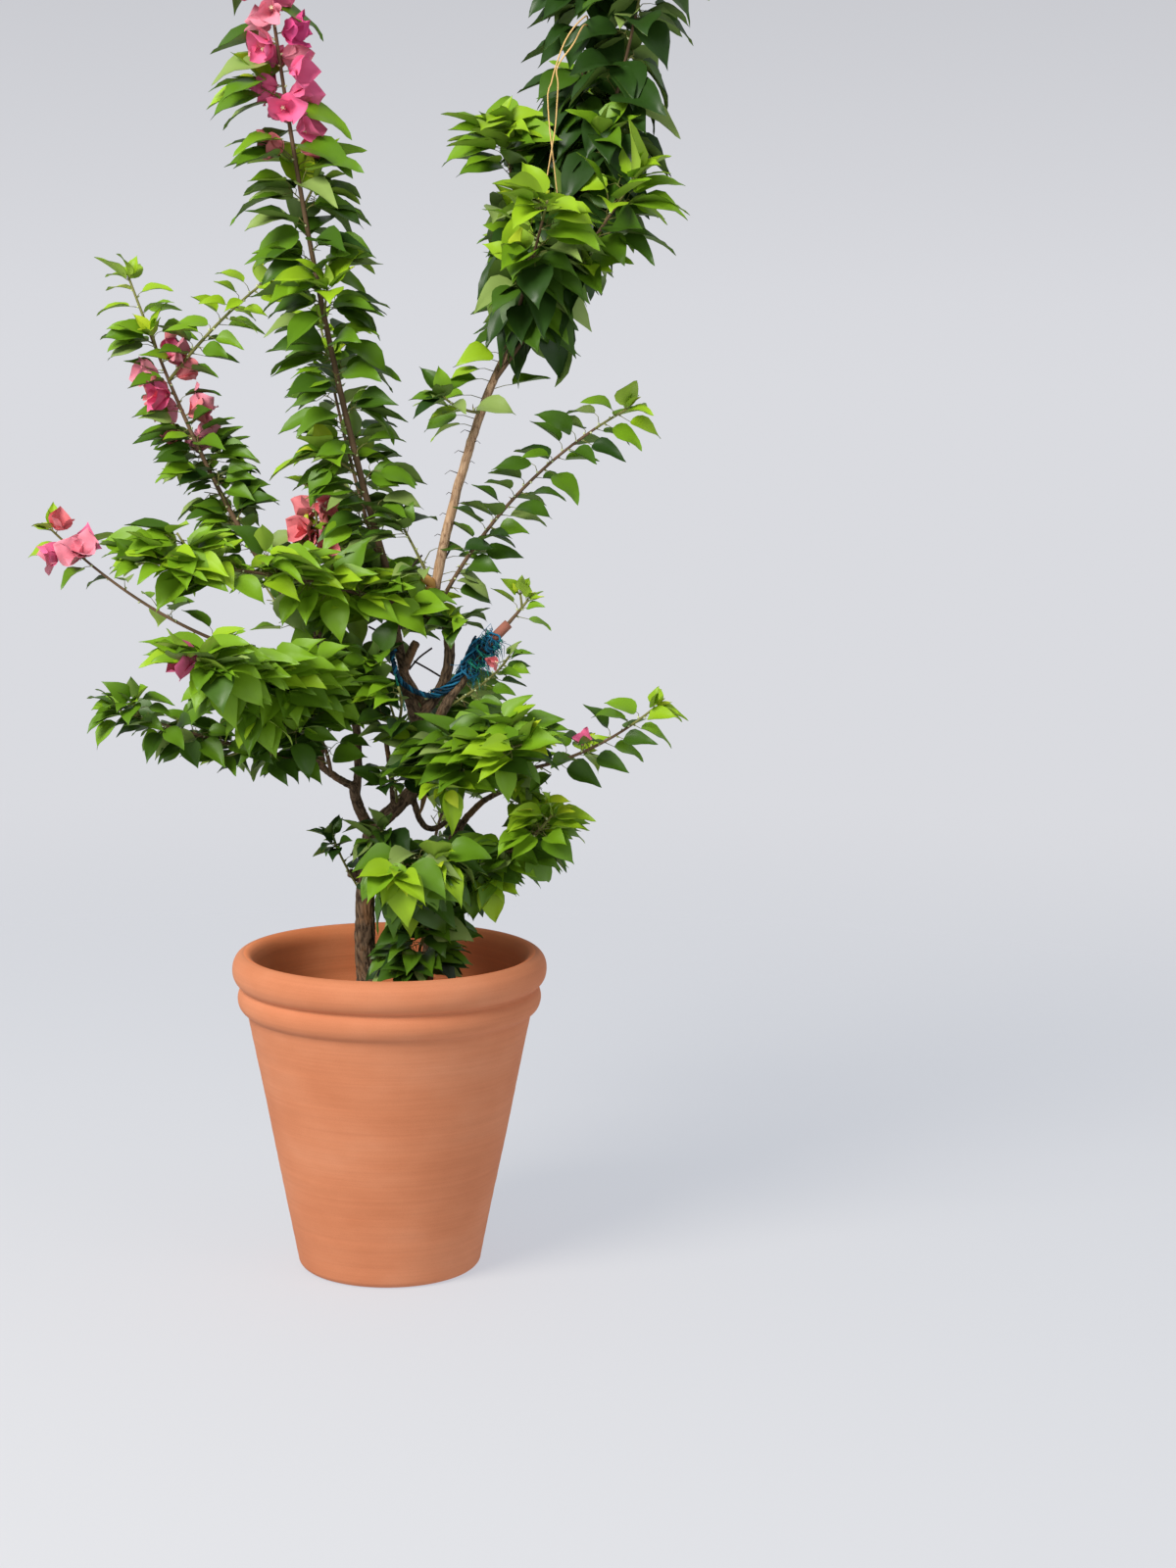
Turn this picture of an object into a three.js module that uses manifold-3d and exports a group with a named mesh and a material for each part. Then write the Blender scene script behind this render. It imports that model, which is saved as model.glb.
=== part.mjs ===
// A bougainvillea bush in its terracotta pot. Millimetres, +Z up, +X to the right, +Y to the back.
// The origin is the centre of the pot's flat underside. Every limb is a tapering tube along a curve that
// is worked out from its place on its parent, its tip and its bow. Every mass of foliage is one shoot
// with side twigs and leaves that a seeded rule deals out along it.

import * as THREE from "three";
import { mergeVertices } from "three/addons/utils/BufferGeometryUtils.js";
import Module from "manifold-3d";

const wasm = await Module();
wasm.setup();

const GAP = 0.3; // clearance between neighbouring pieces
const SLIVER = 0.01; // the narrowest face that a join may leave

// Pot: a rolled rim over a half-round band, on a straight tapering wall.
const POT_HEIGHT = 410;
const POT_SIDES = 36;
const RIM = { middle: 186, below: 20, thick: 14.5, tall: 21 }; // the roll's oval: place and half sizes
const BAND = { middle: 180, below: 57, thick: 13.4, tall: 18 };
const WALL_TOP_RADIUS = 179.5;
const WALL_TOP_BELOW_RIM = 75;
const BASE_RADIUS = 116;
const BASE_ROUNDING = 11;
const WALL_THICKNESS = 12;
const FLOOR_THICKNESS = 16;

// Soil fills the pot to this height.
const SOIL_LEVEL = 330;

// Growth
const UP = new THREE.Vector3(0, 0, 1);
const SUNNY_SIDE = new THREE.Vector3(-0.25, -0.55, 0.8); // the leaves turn their faces this way
const LIMB_STEP = 30; // length of one straight piece of a limb
const SHOOT_STEP = 48; // and of a shoot
const LEAF_LENGTH = 86; // with its stalk
const LEAF_WIDTH = 52;
const LEAF_THICKNESS = 2.4;
const LEAF_WAIST = 0.46; // where a leaf is widest, from its root
const LEAF_KEEL = 0.16; // how far its sides stand up, as a share of its width
const LEAF_DROOP = 0.12; // how far its tip bends down, as a share of its length
const BRACT_LENGTH = 56;
const BRACT_WIDTH = 42;
const FLARE_LENGTH = 16; // how far a flare at a limb's foot reaches
const TWIG_RADIUS = 1.9;
const LAST_TWIG = 0.92; // where the last side twig leaves, as a share of the shoot
const TWIG_LEAN = 0.75; // how far twigs lean along their shoot
const TWIG_RISE = 0.3; // and up
const TWIG_SHORTENING = 0.45; // how much shorter they are at the shoot's tip
const SHOOT_TIP_RADIUS = 1.5;
const BARE_FOOT = 11; // a shoot carries nothing this near to its bough
const FIRST_LEAF = 24; // where a side twig's leaves start, from the shoot
const RANK_SPREAD = 0.9; // how far leaves stray from the middle of their side, in radians
const END_ROOT_SUNK = 1; // how deep the last leaf's root is in the end of its twig
const END_LEAF_SIZE = 0.7; // the youngest leaf beside the others
const TURNS_TRIED = 5;
const BLOOM_SPACING = 42;

// name, parent, share of the parent's length where it leaves, tip, bow at mid length, radius at both ends
const LIMBS = [
  limb("trunk", [-24, 10, SOIL_LEVEL], 0, [-20, 5, 575], [-10, 0, 15], [14, 11],
    { flare: 11, sides: 12, step: 16 }),
  limb("second_stem", [48, 45, SOIL_LEVEL], 0, [90, 30, 565], [-10, 0, 30], [8, 6.5], { flare: 4, step: 20 }),
  limb("right_limb", "trunk", 0.97, [40, -10, 630], [5, -5, 5], [10, 9]),
  limb("left_limb", "trunk", 0.95, [-45, -5, 625], [-5, 0, 0], [7.5, 6.5]),
  limb("left_lower_bough", "left_limb", 0.98, [-95, -20, 660], [0, 0, -4], [5, 4], { sides: 6 }),
  limb("left_rising_bough", "left_limb", 0.8, [-104, 20, 832], [25, -5, 5], [5.5, 4.5]),
  limb("centre_limb", "right_limb", 0.98, [20, 0, 745], [10, -5, 0], [8.5, 7.5]),
  limb("middle_bough", "right_limb", 0.45, [-5, -30, 685], [0, 5, 0], [4, 3], { sides: 6 }),
  limb("cross_bough", "right_limb", 0.8, [72, 19, 575], [-5, 0, -25], [4.5, 3.5], { sides: 6 }),
  limb("upper_left_bough", "centre_limb", 0.98, [0, 10, 885], [0, 0, -5], [6.5, 5]),
  limb("upper_right_bough", "centre_limb", 0.68, [54, 0, 870], [30, 0, -5], [7, 6.5]),
  limb("tall_right_bough", "upper_right_bough", 0.98, [155, 20, 1185], [-10, -5, 15], [6.5, 5]),
  limb("right_low_bough", "second_stem", 0.94, [155, 10, 620], [-5, 0, 10], [5, 3.5], { sides: 6 }),
  limb("right_short_bough", "centre_limb", 0.36, [148, -20, 832], [-3, -6, 12], [7, 5.5]),
];

// name, bough, share of its length, tip, bow, then girth at its foot, number and reach of its side twigs,
// leaf spacing, leaf size, how far the leaves hang, and the stretch in bloom
const SHOOTS = [
  shoot("left_tall_shoot", "upper_left_bough", 0.98, [-160, -20, 1715], [-10, 5, -45],
    { radius: 4.6, twigs: 4, reach: 55, spacing: 33, hang: 0.45, bloom: [0.63, 1] }),
  shoot("left_mid_shoot", "left_rising_bough", 0.98, [-333, 148, 1258], [5, -5, -60],
    { radius: 4, twigs: 2, reach: 50, spacing: 34, hang: 0.35, bloom: [0.56, 0.82] }),
  shoot("left_side_shoot", "left_mid_shoot", 0.72, [-160, 60, 1250], [-3, 5, 5],
    { radius: 2.4, spacing: 40, size: 0.68 }),
  shoot("left_level_shoot", "upper_right_bough", 0.75, [-300, -120, 912], [15, -5, 16],
    { radius: 3.6, twigs: 3, reach: 70, spacing: 33, hang: 0.2 }),
  shoot("left_long_shoot", "left_rising_bough", 0.7, [-430, 90, 940], [-5, 10, -40],
    { radius: 3, twigs: 1, reach: 45, spacing: 40, size: 0.78, bloom: [0.86, 1] }),
  shoot("left_front_shoot", "left_rising_bough", 0.62, [-242, -250, 806], [0, -30, 0],
    { radius: 3, twigs: 2, reach: 70, spacing: 33, hang: 0.18 }),
  shoot("left_lower_shoot", "left_lower_bough", 0.97, [-332, -110, 734], [10, 5, -10],
    { radius: 3.2, twigs: 2, reach: 50, spacing: 33, size: 0.85, hang: 0.42 }),
  shoot("left_lower_fan", "left_lower_bough", 0.55, [-215, -130, 768], [30, 0, 24],
    { radius: 2.6, twigs: 2, reach: 70, spacing: 33, hang: 0.14 }),
  shoot("bloom_shoot", "left_rising_bough", 0.93, [-97, 40, 998], [5, 20, 0],
    { radius: 2.4, twigs: 1, reach: 40, spacing: 42, size: 0.8, bloom: [0.5, 1] }),
  shoot("top_right_crown", "tall_right_bough", 0.98, [290, 90, 1835], [5, 5, -75],
    { radius: 4.6, twigs: 5, reach: 50, spacing: 32, hang: 0.65 }),
  shoot("right_crown_shoot", "tall_right_bough", 0.93, [316, 20, 1650], [10, -10, -50],
    { radius: 3.2, twigs: 2, reach: 50, spacing: 33, hang: 0.65 }),
  shoot("lime_fan", "tall_right_bough", 0.86, [186, -140, 1345], [0, 0, -10],
    { radius: 2.8, twigs: 1, reach: 40, spacing: 30, hang: 0.25 }),
  shoot("right_top_shoot", "tall_right_bough", 0.82, [296, -60, 1378], [5, -10, 5],
    { radius: 2.8, twigs: 2, reach: 50, spacing: 31, hang: 0.25 }),
  shoot("left_top_shoot", "tall_right_bough", 0.89, [137, 55, 1438], [22, 20, 10],
    { radius: 2.6, twigs: 2, reach: 40, spacing: 32 }),
  shoot("bare_stem_shoot", "tall_right_bough", 0.7, [66, -40, 1112], [0, -5, -5],
    { radius: 2.2, spacing: 40, size: 0.8 }),
  shoot("right_sparse_shoot", "upper_right_bough", 0.9, [290, -60, 1100], [-15, 0, 20],
    { radius: 2.8, spacing: 36, size: 0.72 }),
  shoot("right_short_shoot", "right_short_bough", 0.98, [172, -25, 862], [2, 0, 2],
    { radius: 2.6, twigs: 1, reach: 24, spacing: 30, size: 0.5, hang: 0.25 }),
  shoot("right_level_shoot", "centre_limb", 0.2, [327, -80, 733], [5, -15, -35],
    { radius: 3.2, twigs: 2, reach: 30, spacing: 34, size: 0.8, hang: 0.28 }),
  shoot("right_fan", "centre_limb", 0.5, [168, -170, 702], [-15, -20, -15],
    { radius: 2.8, twigs: 2, reach: 65, spacing: 32, hang: 0.2 }),
  shoot("low_right_shoot", "second_stem", 0.85, [200, -110, 604], [0, -20, -25],
    { radius: 3, twigs: 2, reach: 55, spacing: 32, hang: 0.4 }),
  shoot("low_front_shoot", "second_stem", 0.72, [12, -170, 540], [-4, -20, 22],
    { radius: 3, twigs: 2, reach: 75, spacing: 32, hang: 0.6 }),
  shoot("pot_shoot", "second_stem", 0.3, [45, -50, 450], [-10, 5, -20],
    { radius: 2.2, twigs: 2, reach: 45, spacing: 32, size: 0.75 }),
  shoot("trunk_shoot", "trunk", 0.6, [-72, -10, 560], [-5, -5, 5],
    { radius: 1.6, twigs: 2, reach: 26, spacing: 34, size: 0.5 }),
  shoot("right_low_shoot", "right_low_bough", 0.97, [160, -45, 612], [0, 5, 0],
    { radius: 2.6, twigs: 2, reach: 45, spacing: 30, size: 0.85 }),
  shoot("middle_shoot", "middle_bough", 0.97, [10, -90, 760], [10, -10, 0],
    { radius: 2.4, twigs: 2, reach: 60, spacing: 32 }),
  shoot("inner_shoot", "left_rising_bough", 0.4, [-15, -60, 800], [5, 0, 0],
    { radius: 2.4, twigs: 2, reach: 55, spacing: 32 }),
  shoot("back_left_shoot", "left_rising_bough", 0.74, [-170, 340, 850], [0, 25, -15],
    { radius: 3, twigs: 2, reach: 80, spacing: 36 }),
  shoot("back_middle_shoot", "upper_left_bough", 0.45, [-40, 340, 905], [5, 30, 0],
    { radius: 3, twigs: 2, reach: 80, spacing: 36 }),
  shoot("back_right_shoot", "centre_limb", 0.84, [110, 310, 680], [0, 30, 15],
    { radius: 3, twigs: 2, reach: 75, spacing: 36 }),
  shoot("back_low_shoot", "second_stem", 0.62, [95, 270, 585], [-15, 0, 10],
    { radius: 2.8, twigs: 2, reach: 70, spacing: 36, hang: 0.5 }),
  shoot("back_tall_shoot", "upper_left_bough", 0.82, [-92, 240, 1205], [0, 25, -30],
    { radius: 3, twigs: 2, reach: 40, spacing: 38 }),
  shoot("back_top_shoot", "tall_right_bough", 0.965, [260, 250, 1515], [0, 5, -40],
    { radius: 3, twigs: 2, reach: 75, spacing: 33, hang: 0.5 }),
  shoot("right_inner_shoot", "upper_right_bough", 0.6, [82, -44, 834], [0, 0, 5],
    { radius: 2.4, twigs: 1, reach: 24, spacing: 32, size: 0.85, hang: 0.4 }),
  shoot("right_edge_shoot", "right_short_bough", 0.3, [148, -35, 792], [12, 0, 2],
    { radius: 2, spacing: 28, size: 0.6 }),
  shoot("fork_shoot", "right_limb", 0.5, [5, -65, 640], [0, -5, 8],
    { radius: 2, twigs: 1, reach: 26, spacing: 30, size: 0.7, hang: 0.6 }),
  shoot("trunk_front_shoot", "trunk", 0.8, [-8, -55, 575], [0, -8, 8],
    { radius: 2, twigs: 1, reach: 26, spacing: 30, size: 0.75, hang: 0.6 }),
  shoot("stem_foot_shoot", "upper_right_bough", 0.93, [18, -10, 948], [6, 0, -8],
    { radius: 2.2, spacing: 32, size: 0.75, hang: 0.35 }),
];

const COLOURS = { terracotta: 0xc47a5a, soil: 0x4a3629, bark: 0x7d6450, leaf: 0x4a8a2c };

function limb(name, on, at, tip, bow, radii, { flare = 0, sides = 7, step = LIMB_STEP } = {}) {
  return { name, on, at, tip, bow, radii, flare, sides, step };
}

function shoot(name, on, at, tip, bow, habit) {
  return { name, on, at, tip, bow, twigs: 0, reach: 0, size: 1, hang: 0.3, bloom: [2, 2], ...habit };
}

// The same numbers in the same order each time.
function seeded(seed) {
  let state = seed;
  return () => {
    state = (Math.imul(1664525, state) + 1013904223) >>> 0;
    return state / 2 ** 32;
  };
}

function solidOf(geometry) {
  const bare = new THREE.BufferGeometry();
  bare.setAttribute("position", geometry.getAttribute("position"));
  bare.setIndex(geometry.getIndex());
  const welded = mergeVertices(bare, 1e-4);
  return new wasm.Manifold(new wasm.Mesh({
    numProp: 3,
    vertProperties: new Float32Array(welded.getAttribute("position").array),
    triVerts: new Uint32Array(welded.getIndex().array),
  }));
}

function geometryOf(solid) {
  const mesh = solid.getMesh();
  const geometry = new THREE.BufferGeometry();
  geometry.setAttribute("position", new THREE.BufferAttribute(mesh.vertProperties, 3));
  geometry.setIndex(new THREE.BufferAttribute(mesh.triVerts, 1));
  geometry.computeVertexNormals();
  return geometry;
}

function largestBody(solid) {
  return solid.decompose().reduce((best, body) => (body.volume() > best.volume() ? body : best));
}

// --- pot and soil -----------------------------------------------------------------------------------

function ovalArc(oval, fromDegrees, toDegrees, steps) {
  return Array.from({ length: steps + 1 }, (_, i) => {
    const angle = THREE.MathUtils.degToRad(fromDegrees + ((toDegrees - fromDegrees) * i) / steps);
    return new THREE.Vector2(
      oval.middle + oval.thick * Math.cos(angle),
      POT_HEIGHT - oval.below + oval.tall * Math.sin(angle),
    );
  });
}

function turned(profile) {
  return new THREE.LatheGeometry(profile, POT_SIDES).rotateX(Math.PI / 2);
}

// The wall's radius at a height, on the outside below the band.
function wallRadius(height) {
  const share = height / (POT_HEIGHT - WALL_TOP_BELOW_RIM);
  return THREE.MathUtils.lerp(BASE_RADIUS, WALL_TOP_RADIUS, share);
}

function innerRadius(height) {
  return wallRadius(height) - WALL_THICKNESS;
}

function potGeometry() {
  const footing = [45, 0].map((degrees) => {
    const angle = THREE.MathUtils.degToRad(degrees);
    return new THREE.Vector2(
      wallRadius(BASE_ROUNDING) - BASE_ROUNDING * (1 - Math.cos(angle)),
      BASE_ROUNDING * (1 - Math.sin(angle)),
    );
  });
  const innerRimHeight = POT_HEIGHT - RIM.below;
  const profile = [
    new THREE.Vector2(0, 0),
    new THREE.Vector2(wallRadius(BASE_ROUNDING) - BASE_ROUNDING, 0),
    ...footing,
    ...ovalArc(BAND, -84, 52, 6),
    ...ovalArc(RIM, -78, 180, 10),
    new THREE.Vector2(innerRadius(innerRimHeight - RIM.tall * 2), innerRimHeight - RIM.tall * 2),
    new THREE.Vector2(innerRadius(FLOOR_THICKNESS), FLOOR_THICKNESS),
    new THREE.Vector2(0, FLOOR_THICKNESS),
  ];
  return turned(profile);
}

function soilGeometry() {
  const floor = FLOOR_THICKNESS + GAP;
  return turned([
    new THREE.Vector2(0, floor),
    new THREE.Vector2(innerRadius(floor) - 2 * GAP, floor),
    new THREE.Vector2(innerRadius(SOIL_LEVEL) - 2 * GAP, SOIL_LEVEL),
    new THREE.Vector2(0, SOIL_LEVEL),
  ]);
}

// --- limbs ------------------------------------------------------------------------------------------

const axes = new Map(); // every limb's and shoot's curve and radii, by name

// A direction that lies well across the line from start to tip.
function referenceFor(start, tip) {
  const chord = tip.clone().sub(start).normalize();
  return Math.abs(chord.z) > 0.7 ? new THREE.Vector3(1, 0, 0) : UP;
}

function layOut(piece) {
  const start = Array.isArray(piece.on)
    ? new THREE.Vector3(...piece.on)
    : axes.get(piece.on).curve.getPointAt(piece.at);
  const tip = new THREE.Vector3(...piece.tip);
  const bow = new THREE.Vector3(...piece.bow);
  const control = start.clone().add(tip).multiplyScalar(0.5).addScaledVector(bow, 2);
  const curve = new THREE.QuadraticBezierCurve3(start, control, tip);
  const axis = { ...piece, curve, length: curve.getLength(), reference: referenceFor(start, tip) };
  axes.set(piece.name, axis);
  return axis;
}

function radiusAt(axis, share) {
  const flare = axis.flare ? axis.flare * Math.exp((-share * axis.length) / FLARE_LENGTH) : 0;
  return THREE.MathUtils.lerp(axis.radii[0], axis.radii[1], share) + flare;
}

function stepsAlong(axis) {
  return Math.max(1, Math.round(axis.length / axis.step));
}

// A unit vector square to an axis, at an angle round it, counted from a side that stays the same along it.
function outward(axis, share, angle) {
  const tangent = axis.curve.getTangentAt(share);
  const side = new THREE.Vector3().crossVectors(tangent, axis.reference).normalize();
  return side.applyAxisAngle(tangent, angle);
}

// Rings of corners along the curve, closed at both ends.
function taperGeometry(axis, grown = 0) {
  const steps = stepsAlong(axis);
  const { sides } = axis;
  const positions = [];
  for (let i = 0; i <= steps; i++) {
    const share = i / steps;
    const centre = axis.curve.getPointAt(share);
    const lengthened = i === 0 ? -grown : i === steps ? grown : 0;
    centre.addScaledVector(axis.curve.getTangentAt(share), lengthened);
    const radius = radiusAt(axis, share) + grown;
    for (let k = 0; k < sides; k++) {
      const corner = centre.clone().addScaledVector(outward(axis, share, (2 * Math.PI * k) / sides), radius);
      positions.push(...corner.toArray());
    }
  }
  const indices = [];
  for (let i = 0; i < steps; i++) {
    for (let k = 0; k < sides; k++) {
      const a = i * sides + k;
      const b = i * sides + ((k + 1) % sides);
      indices.push(a, b, b + sides, a, b + sides, a + sides);
    }
  }
  for (let k = 1; k < sides - 1; k++) {
    const last = steps * sides;
    indices.push(0, k + 1, k, last, last + k, last + k + 1);
  }
  const geometry = new THREE.BufferGeometry();
  geometry.setAttribute("position", new THREE.Float32BufferAttribute(positions, 3));
  geometry.setIndex(indices);
  return geometry;
}

function belowSoil() {
  const size = 2 * WALL_TOP_RADIUS;
  return solidOf(new THREE.BoxGeometry(size, size, size).translate(0, 0, SOIL_LEVEL + GAP - size / 2));
}

// --- keeping clear ----------------------------------------------------------------------------------

const placed = []; // convex sets of points with a padding, each with its node's name

// A leaf's points start with its root, which only its own node's pieces may touch.
function convex(node, points, padding, roots = 0) {
  const sphere = new THREE.Sphere().setFromPoints(points);
  const free = points.slice(roots);
  return { node, points, free, padding, centre: sphere.center, bound: sphere.radius + padding };
}

function furthest(points, direction) {
  return points.reduce((best, point) => (point.dot(direction) > best.dot(direction) ? point : best));
}

// Whether two padded convex sets are GAP apart, by walking to the nearest point of their difference.
function apart(a, b) {
  const wanted = a.padding + b.padding + GAP;
  if (a.centre.distanceTo(b.centre) > a.bound + b.bound + GAP) return true;
  const [ours, theirs] = a.node === b.node ? [a.free, b.free] : [a.points, b.points];
  const nearest = ours[0].clone().sub(theirs[0]);
  for (let i = 0; i < 90; i++) {
    const distance = nearest.length();
    if (distance < wanted) return false;
    const extreme = furthest(ours, nearest.clone().negate()).clone().sub(furthest(theirs, nearest));
    if (nearest.dot(extreme) / distance > wanted) return true;
    const step = extreme.sub(nearest);
    const share = THREE.MathUtils.clamp(-nearest.dot(step) / step.lengthSq(), 0, 1);
    nearest.addScaledVector(step, share);
  }
  return false;
}

function isClear(candidate) {
  return placed.every((other) => apart(candidate, other));
}

function claimAxis(axis, node) {
  const pieces = stepsAlong(axis);
  for (let i = 0; i < pieces; i++) {
    const ends = [i / pieces, (i + 1) / pieces];
    const points = ends.map((share) => axis.curve.getPointAt(share));
    placed.push(convex(node, points, Math.max(...ends.map((share) => radiusAt(axis, share)))));
  }
}

// --- foliage ----------------------------------------------------------------------------------------

// Twigs and leaves stand on a shoot's three flat sides in turn.
function rankAngle(i, random) {
  return (2 * Math.PI * (i + 0.5)) / 3 + (random() - 0.5) * RANK_SPREAD;
}

// A point in the middle of a shoot's straight pieces, where a twig's or leaf's root is sunk.
function stemPoint(axis, share) {
  const steps = stepsAlong(axis);
  const piece = Math.min(Math.floor(share * steps), steps - 1);
  const [from, to] = [piece, piece + 1].map((i) => axis.curve.getPointAt(i / steps));
  return from.lerp(to, share * steps - piece);
}

// Side twigs leave the shoot on its three sides in turn, and get shorter towards its tip.
function sideTwigs(axis, random) {
  return Array.from({ length: axis.twigs }, (_, i) => {
    const at = axis.bare + ((LAST_TWIG - axis.bare) * (i + random())) / axis.twigs;
    const direction = axis.curve.getTangentAt(at).multiplyScalar(TWIG_LEAN)
      .add(outward(axis, at, rankAngle(i, random)))
      .addScaledVector(UP, TWIG_RISE)
      .normalize();
    const start = stemPoint(axis, at);
    const length = axis.reach * (1 - TWIG_SHORTENING * at) * (0.8 + 0.4 * random());
    const end = start.clone().addScaledVector(direction, length);
    const curve = new THREE.LineCurve3(start, end);
    const radii = [TWIG_RADIUS, SHOOT_TIP_RADIUS];
    return { ...axis, curve, length, radii, step: length, reference: referenceFor(start, end) };
  });
}

// A leaf on its twig: it stands out at an angle round it, hangs a little and turns to the sun.
function leafPlace(axis, share, angle, spread, random) {
  const direction = axis.curve.getTangentAt(share).multiplyScalar(0.5)
    .addScaledVector(outward(axis, share, angle), spread)
    .addScaledVector(UP, -axis.hang * spread)
    .normalize();
  const facing = SUNNY_SIDE.clone()
    .add(new THREE.Vector3(random() - 0.5, random() - 0.5, random() - 0.5).multiplyScalar(0.7));
  return { root: stemPoint(axis, share), direction, facing };
}

// An eight-faced blade with a keel and a drooping tip, its root in the middle of the twig.
function bladeGeometry({ root, direction, facing }, length, width) {
  const side = new THREE.Vector3().crossVectors(facing, direction).normalize();
  const face = new THREE.Vector3().crossVectors(direction, side);
  const blade = new THREE.OctahedronGeometry(1);
  const position = blade.getAttribute("position");
  for (let i = 0; i < position.count; i++) {
    const [x, y, z] = [position.getX(i), position.getY(i), position.getZ(i)];
    const along = x < -0.5 ? 0 : x > 0.5 ? length : length * LEAF_WAIST;
    const across = (y * width) / 2;
    const raised = (z * LEAF_THICKNESS) / 2 + Math.abs(y) * width * LEAF_KEEL;
    const lowered = x > 0.5 ? length * LEAF_DROOP : 0;
    const corner = root.clone()
      .addScaledVector(direction, along)
      .addScaledVector(side, across)
      .addScaledVector(face, raised - lowered);
    position.setXYZ(i, ...corner.toArray());
  }
  return blade;
}

// A geometry's corners, each once, the one nearest to its root first.
function pointsOf(geometry, root) {
  const position = geometry.getAttribute("position");
  const corners = Array.from({ length: position.count }, (_, i) => (
    new THREE.Vector3().fromBufferAttribute(position, i)));
  return corners
    .filter((corner, i) => corners.findIndex((other) => other.distanceTo(corner) < 1e-4) === i)
    .sort((a, b) => a.distanceTo(root) - b.distanceTo(root));
}

// Adds a blade where it keeps clear, and says whether it did.
function addBlade(mass, place, length, width) {
  const blade = bladeGeometry(place, length, width);
  const claim = convex(mass.node, pointsOf(blade, place.root), 0, 1);
  if (!isClear(claim)) return false;
  placed.push(claim);
  mass.solids.push(solidOf(blade));
  return true;
}

// One leaf each spacing along a twig, on its three sides in turn, and one more at its end. A leaf that
// finds no room turns on round the twig, and is left out after a whole turn.
function addLeaves(mass, axis, from, random) {
  const count = Math.max(1, Math.floor((axis.length - from) / axis.spacing));
  for (let i = 0; i <= count; i++) {
    const atEnd = i === count;
    const along = atEnd ? axis.length - END_ROOT_SUNK : from + (i + 0.6 * random()) * axis.spacing;
    const size = axis.size * (0.85 + 0.3 * random()) * (atEnd ? END_LEAF_SIZE : 1);
    const spread = atEnd ? 0.25 : 1;
    for (let turn = 0; turn < TURNS_TRIED; turn++) {
      const place = leafPlace(axis, along / axis.length, rankAngle(i + turn, random), spread, random);
      if (addBlade(mass, place, LEAF_LENGTH * size, LEAF_WIDTH * size)) break;
    }
  }
}

// Three bracts round each flower, standing out from the shoot.
function addBloom(mass, axis, random) {
  const [from, to] = axis.bloom;
  const clusters = Math.max(0, Math.floor(((Math.min(to, 1) - from) * axis.length) / BLOOM_SPACING));
  for (let i = 0; i < clusters; i++) {
    const share = from + ((to - from) * (i + 0.5)) / clusters;
    const tangent = axis.curve.getTangentAt(share);
    const stalk = outward(axis, share, rankAngle(i + 1, random)).addScaledVector(tangent, 0.5).normalize();
    const across = new THREE.Vector3().crossVectors(stalk, tangent).normalize();
    for (let k = 0; k < 3; k++) {
      const direction = across.clone()
        .applyAxisAngle(stalk, (2 * Math.PI * k) / 3 + random())
        .multiplyScalar(0.75)
        .add(stalk)
        .normalize();
      const place = { root: stemPoint(axis, share), direction, facing: stalk.clone().add(SUNNY_SIDE) };
      addBlade(mass, place, BRACT_LENGTH, BRACT_WIDTH);
    }
  }
}

// --- the plant --------------------------------------------------------------------------------------

const materials = Object.fromEntries(Object.entries(COLOURS).map(([name, color]) => (
  [name, new THREE.MeshStandardMaterial({ color, roughness: name === "leaf" ? 0.5 : 0.85, metalness: 0 })])));

function named(name, geometry, material) {
  const mesh = new THREE.Mesh(geometry, material);
  mesh.name = name;
  return mesh;
}

const group = new THREE.Group();
group.add(named("pot", geometryOf(solidOf(potGeometry())), materials.terracotta));
group.add(named("soil", geometryOf(solidOf(soilGeometry())), materials.soil));

// Each limb is cut clear of the limbs that came before it.
const grownLimbs = [];
const ground = belowSoil();
for (const axis of LIMBS.map(layOut)) {
  const whole = solidOf(taperGeometry(axis));
  const cut = [ground, ...grownLimbs].reduce((rest, other) => rest.subtract(other), whole);
  group.add(named(axis.name, geometryOf(largestBody(cut)), materials.bark));
  grownLimbs.push(solidOf(taperGeometry(axis, GAP * 1.2)));
  claimAxis(axis, axis.name);
}

// A shoot that leaves another shoot is fused with it.
const masses = new Map();
const shootAxes = SHOOTS.map((piece) => {
  const axis = layOut({ ...piece, radii: [piece.radius, SHOOT_TIP_RADIUS], sides: 3, step: SHOOT_STEP });
  const bough = axes.get(piece.on);
  axis.bare = (radiusAt(bough, piece.at) + BARE_FOOT) / axis.length;
  axis.mass = masses.get(bough.node) ?? { node: piece.name, solids: [] };
  axis.node = axis.mass.node;
  masses.set(axis.node, axis.mass);
  return axis;
});
shootAxes.forEach((axis) => claimAxis(axis, axis.node));

// Stems first, then twigs, then leaves, so that none of them grows through another shoot.
shootAxes.forEach((axis, i) => {
  axis.random = seeded(1000 + i);
  const stem = solidOf(taperGeometry(axis));
  axis.mass.solids.push(largestBody(grownLimbs.reduce((rest, other) => rest.subtract(other), stem)));
});
for (const axis of shootAxes) {
  axis.sideTwigs = sideTwigs(axis, axis.random).filter((twig) => {
    const ends = [0, 0.4, 1].map((share) => twig.curve.getPointAt(share));
    const claim = convex(axis.node, ends, TWIG_RADIUS, 1);
    const isFree = isClear(claim);
    if (isFree) placed.push(claim);
    return isFree;
  });
  axis.mass.solids.push(...axis.sideTwigs.map((twig) => solidOf(taperGeometry(twig))));
}
for (const axis of shootAxes) {
  addBloom(axis.mass, axis, axis.random);
  addLeaves(axis.mass, axis, axis.bare * axis.length, axis.random);
  axis.sideTwigs.forEach((twig) => addLeaves(axis.mass, twig, FIRST_LEAF, axis.random));
}
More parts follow.
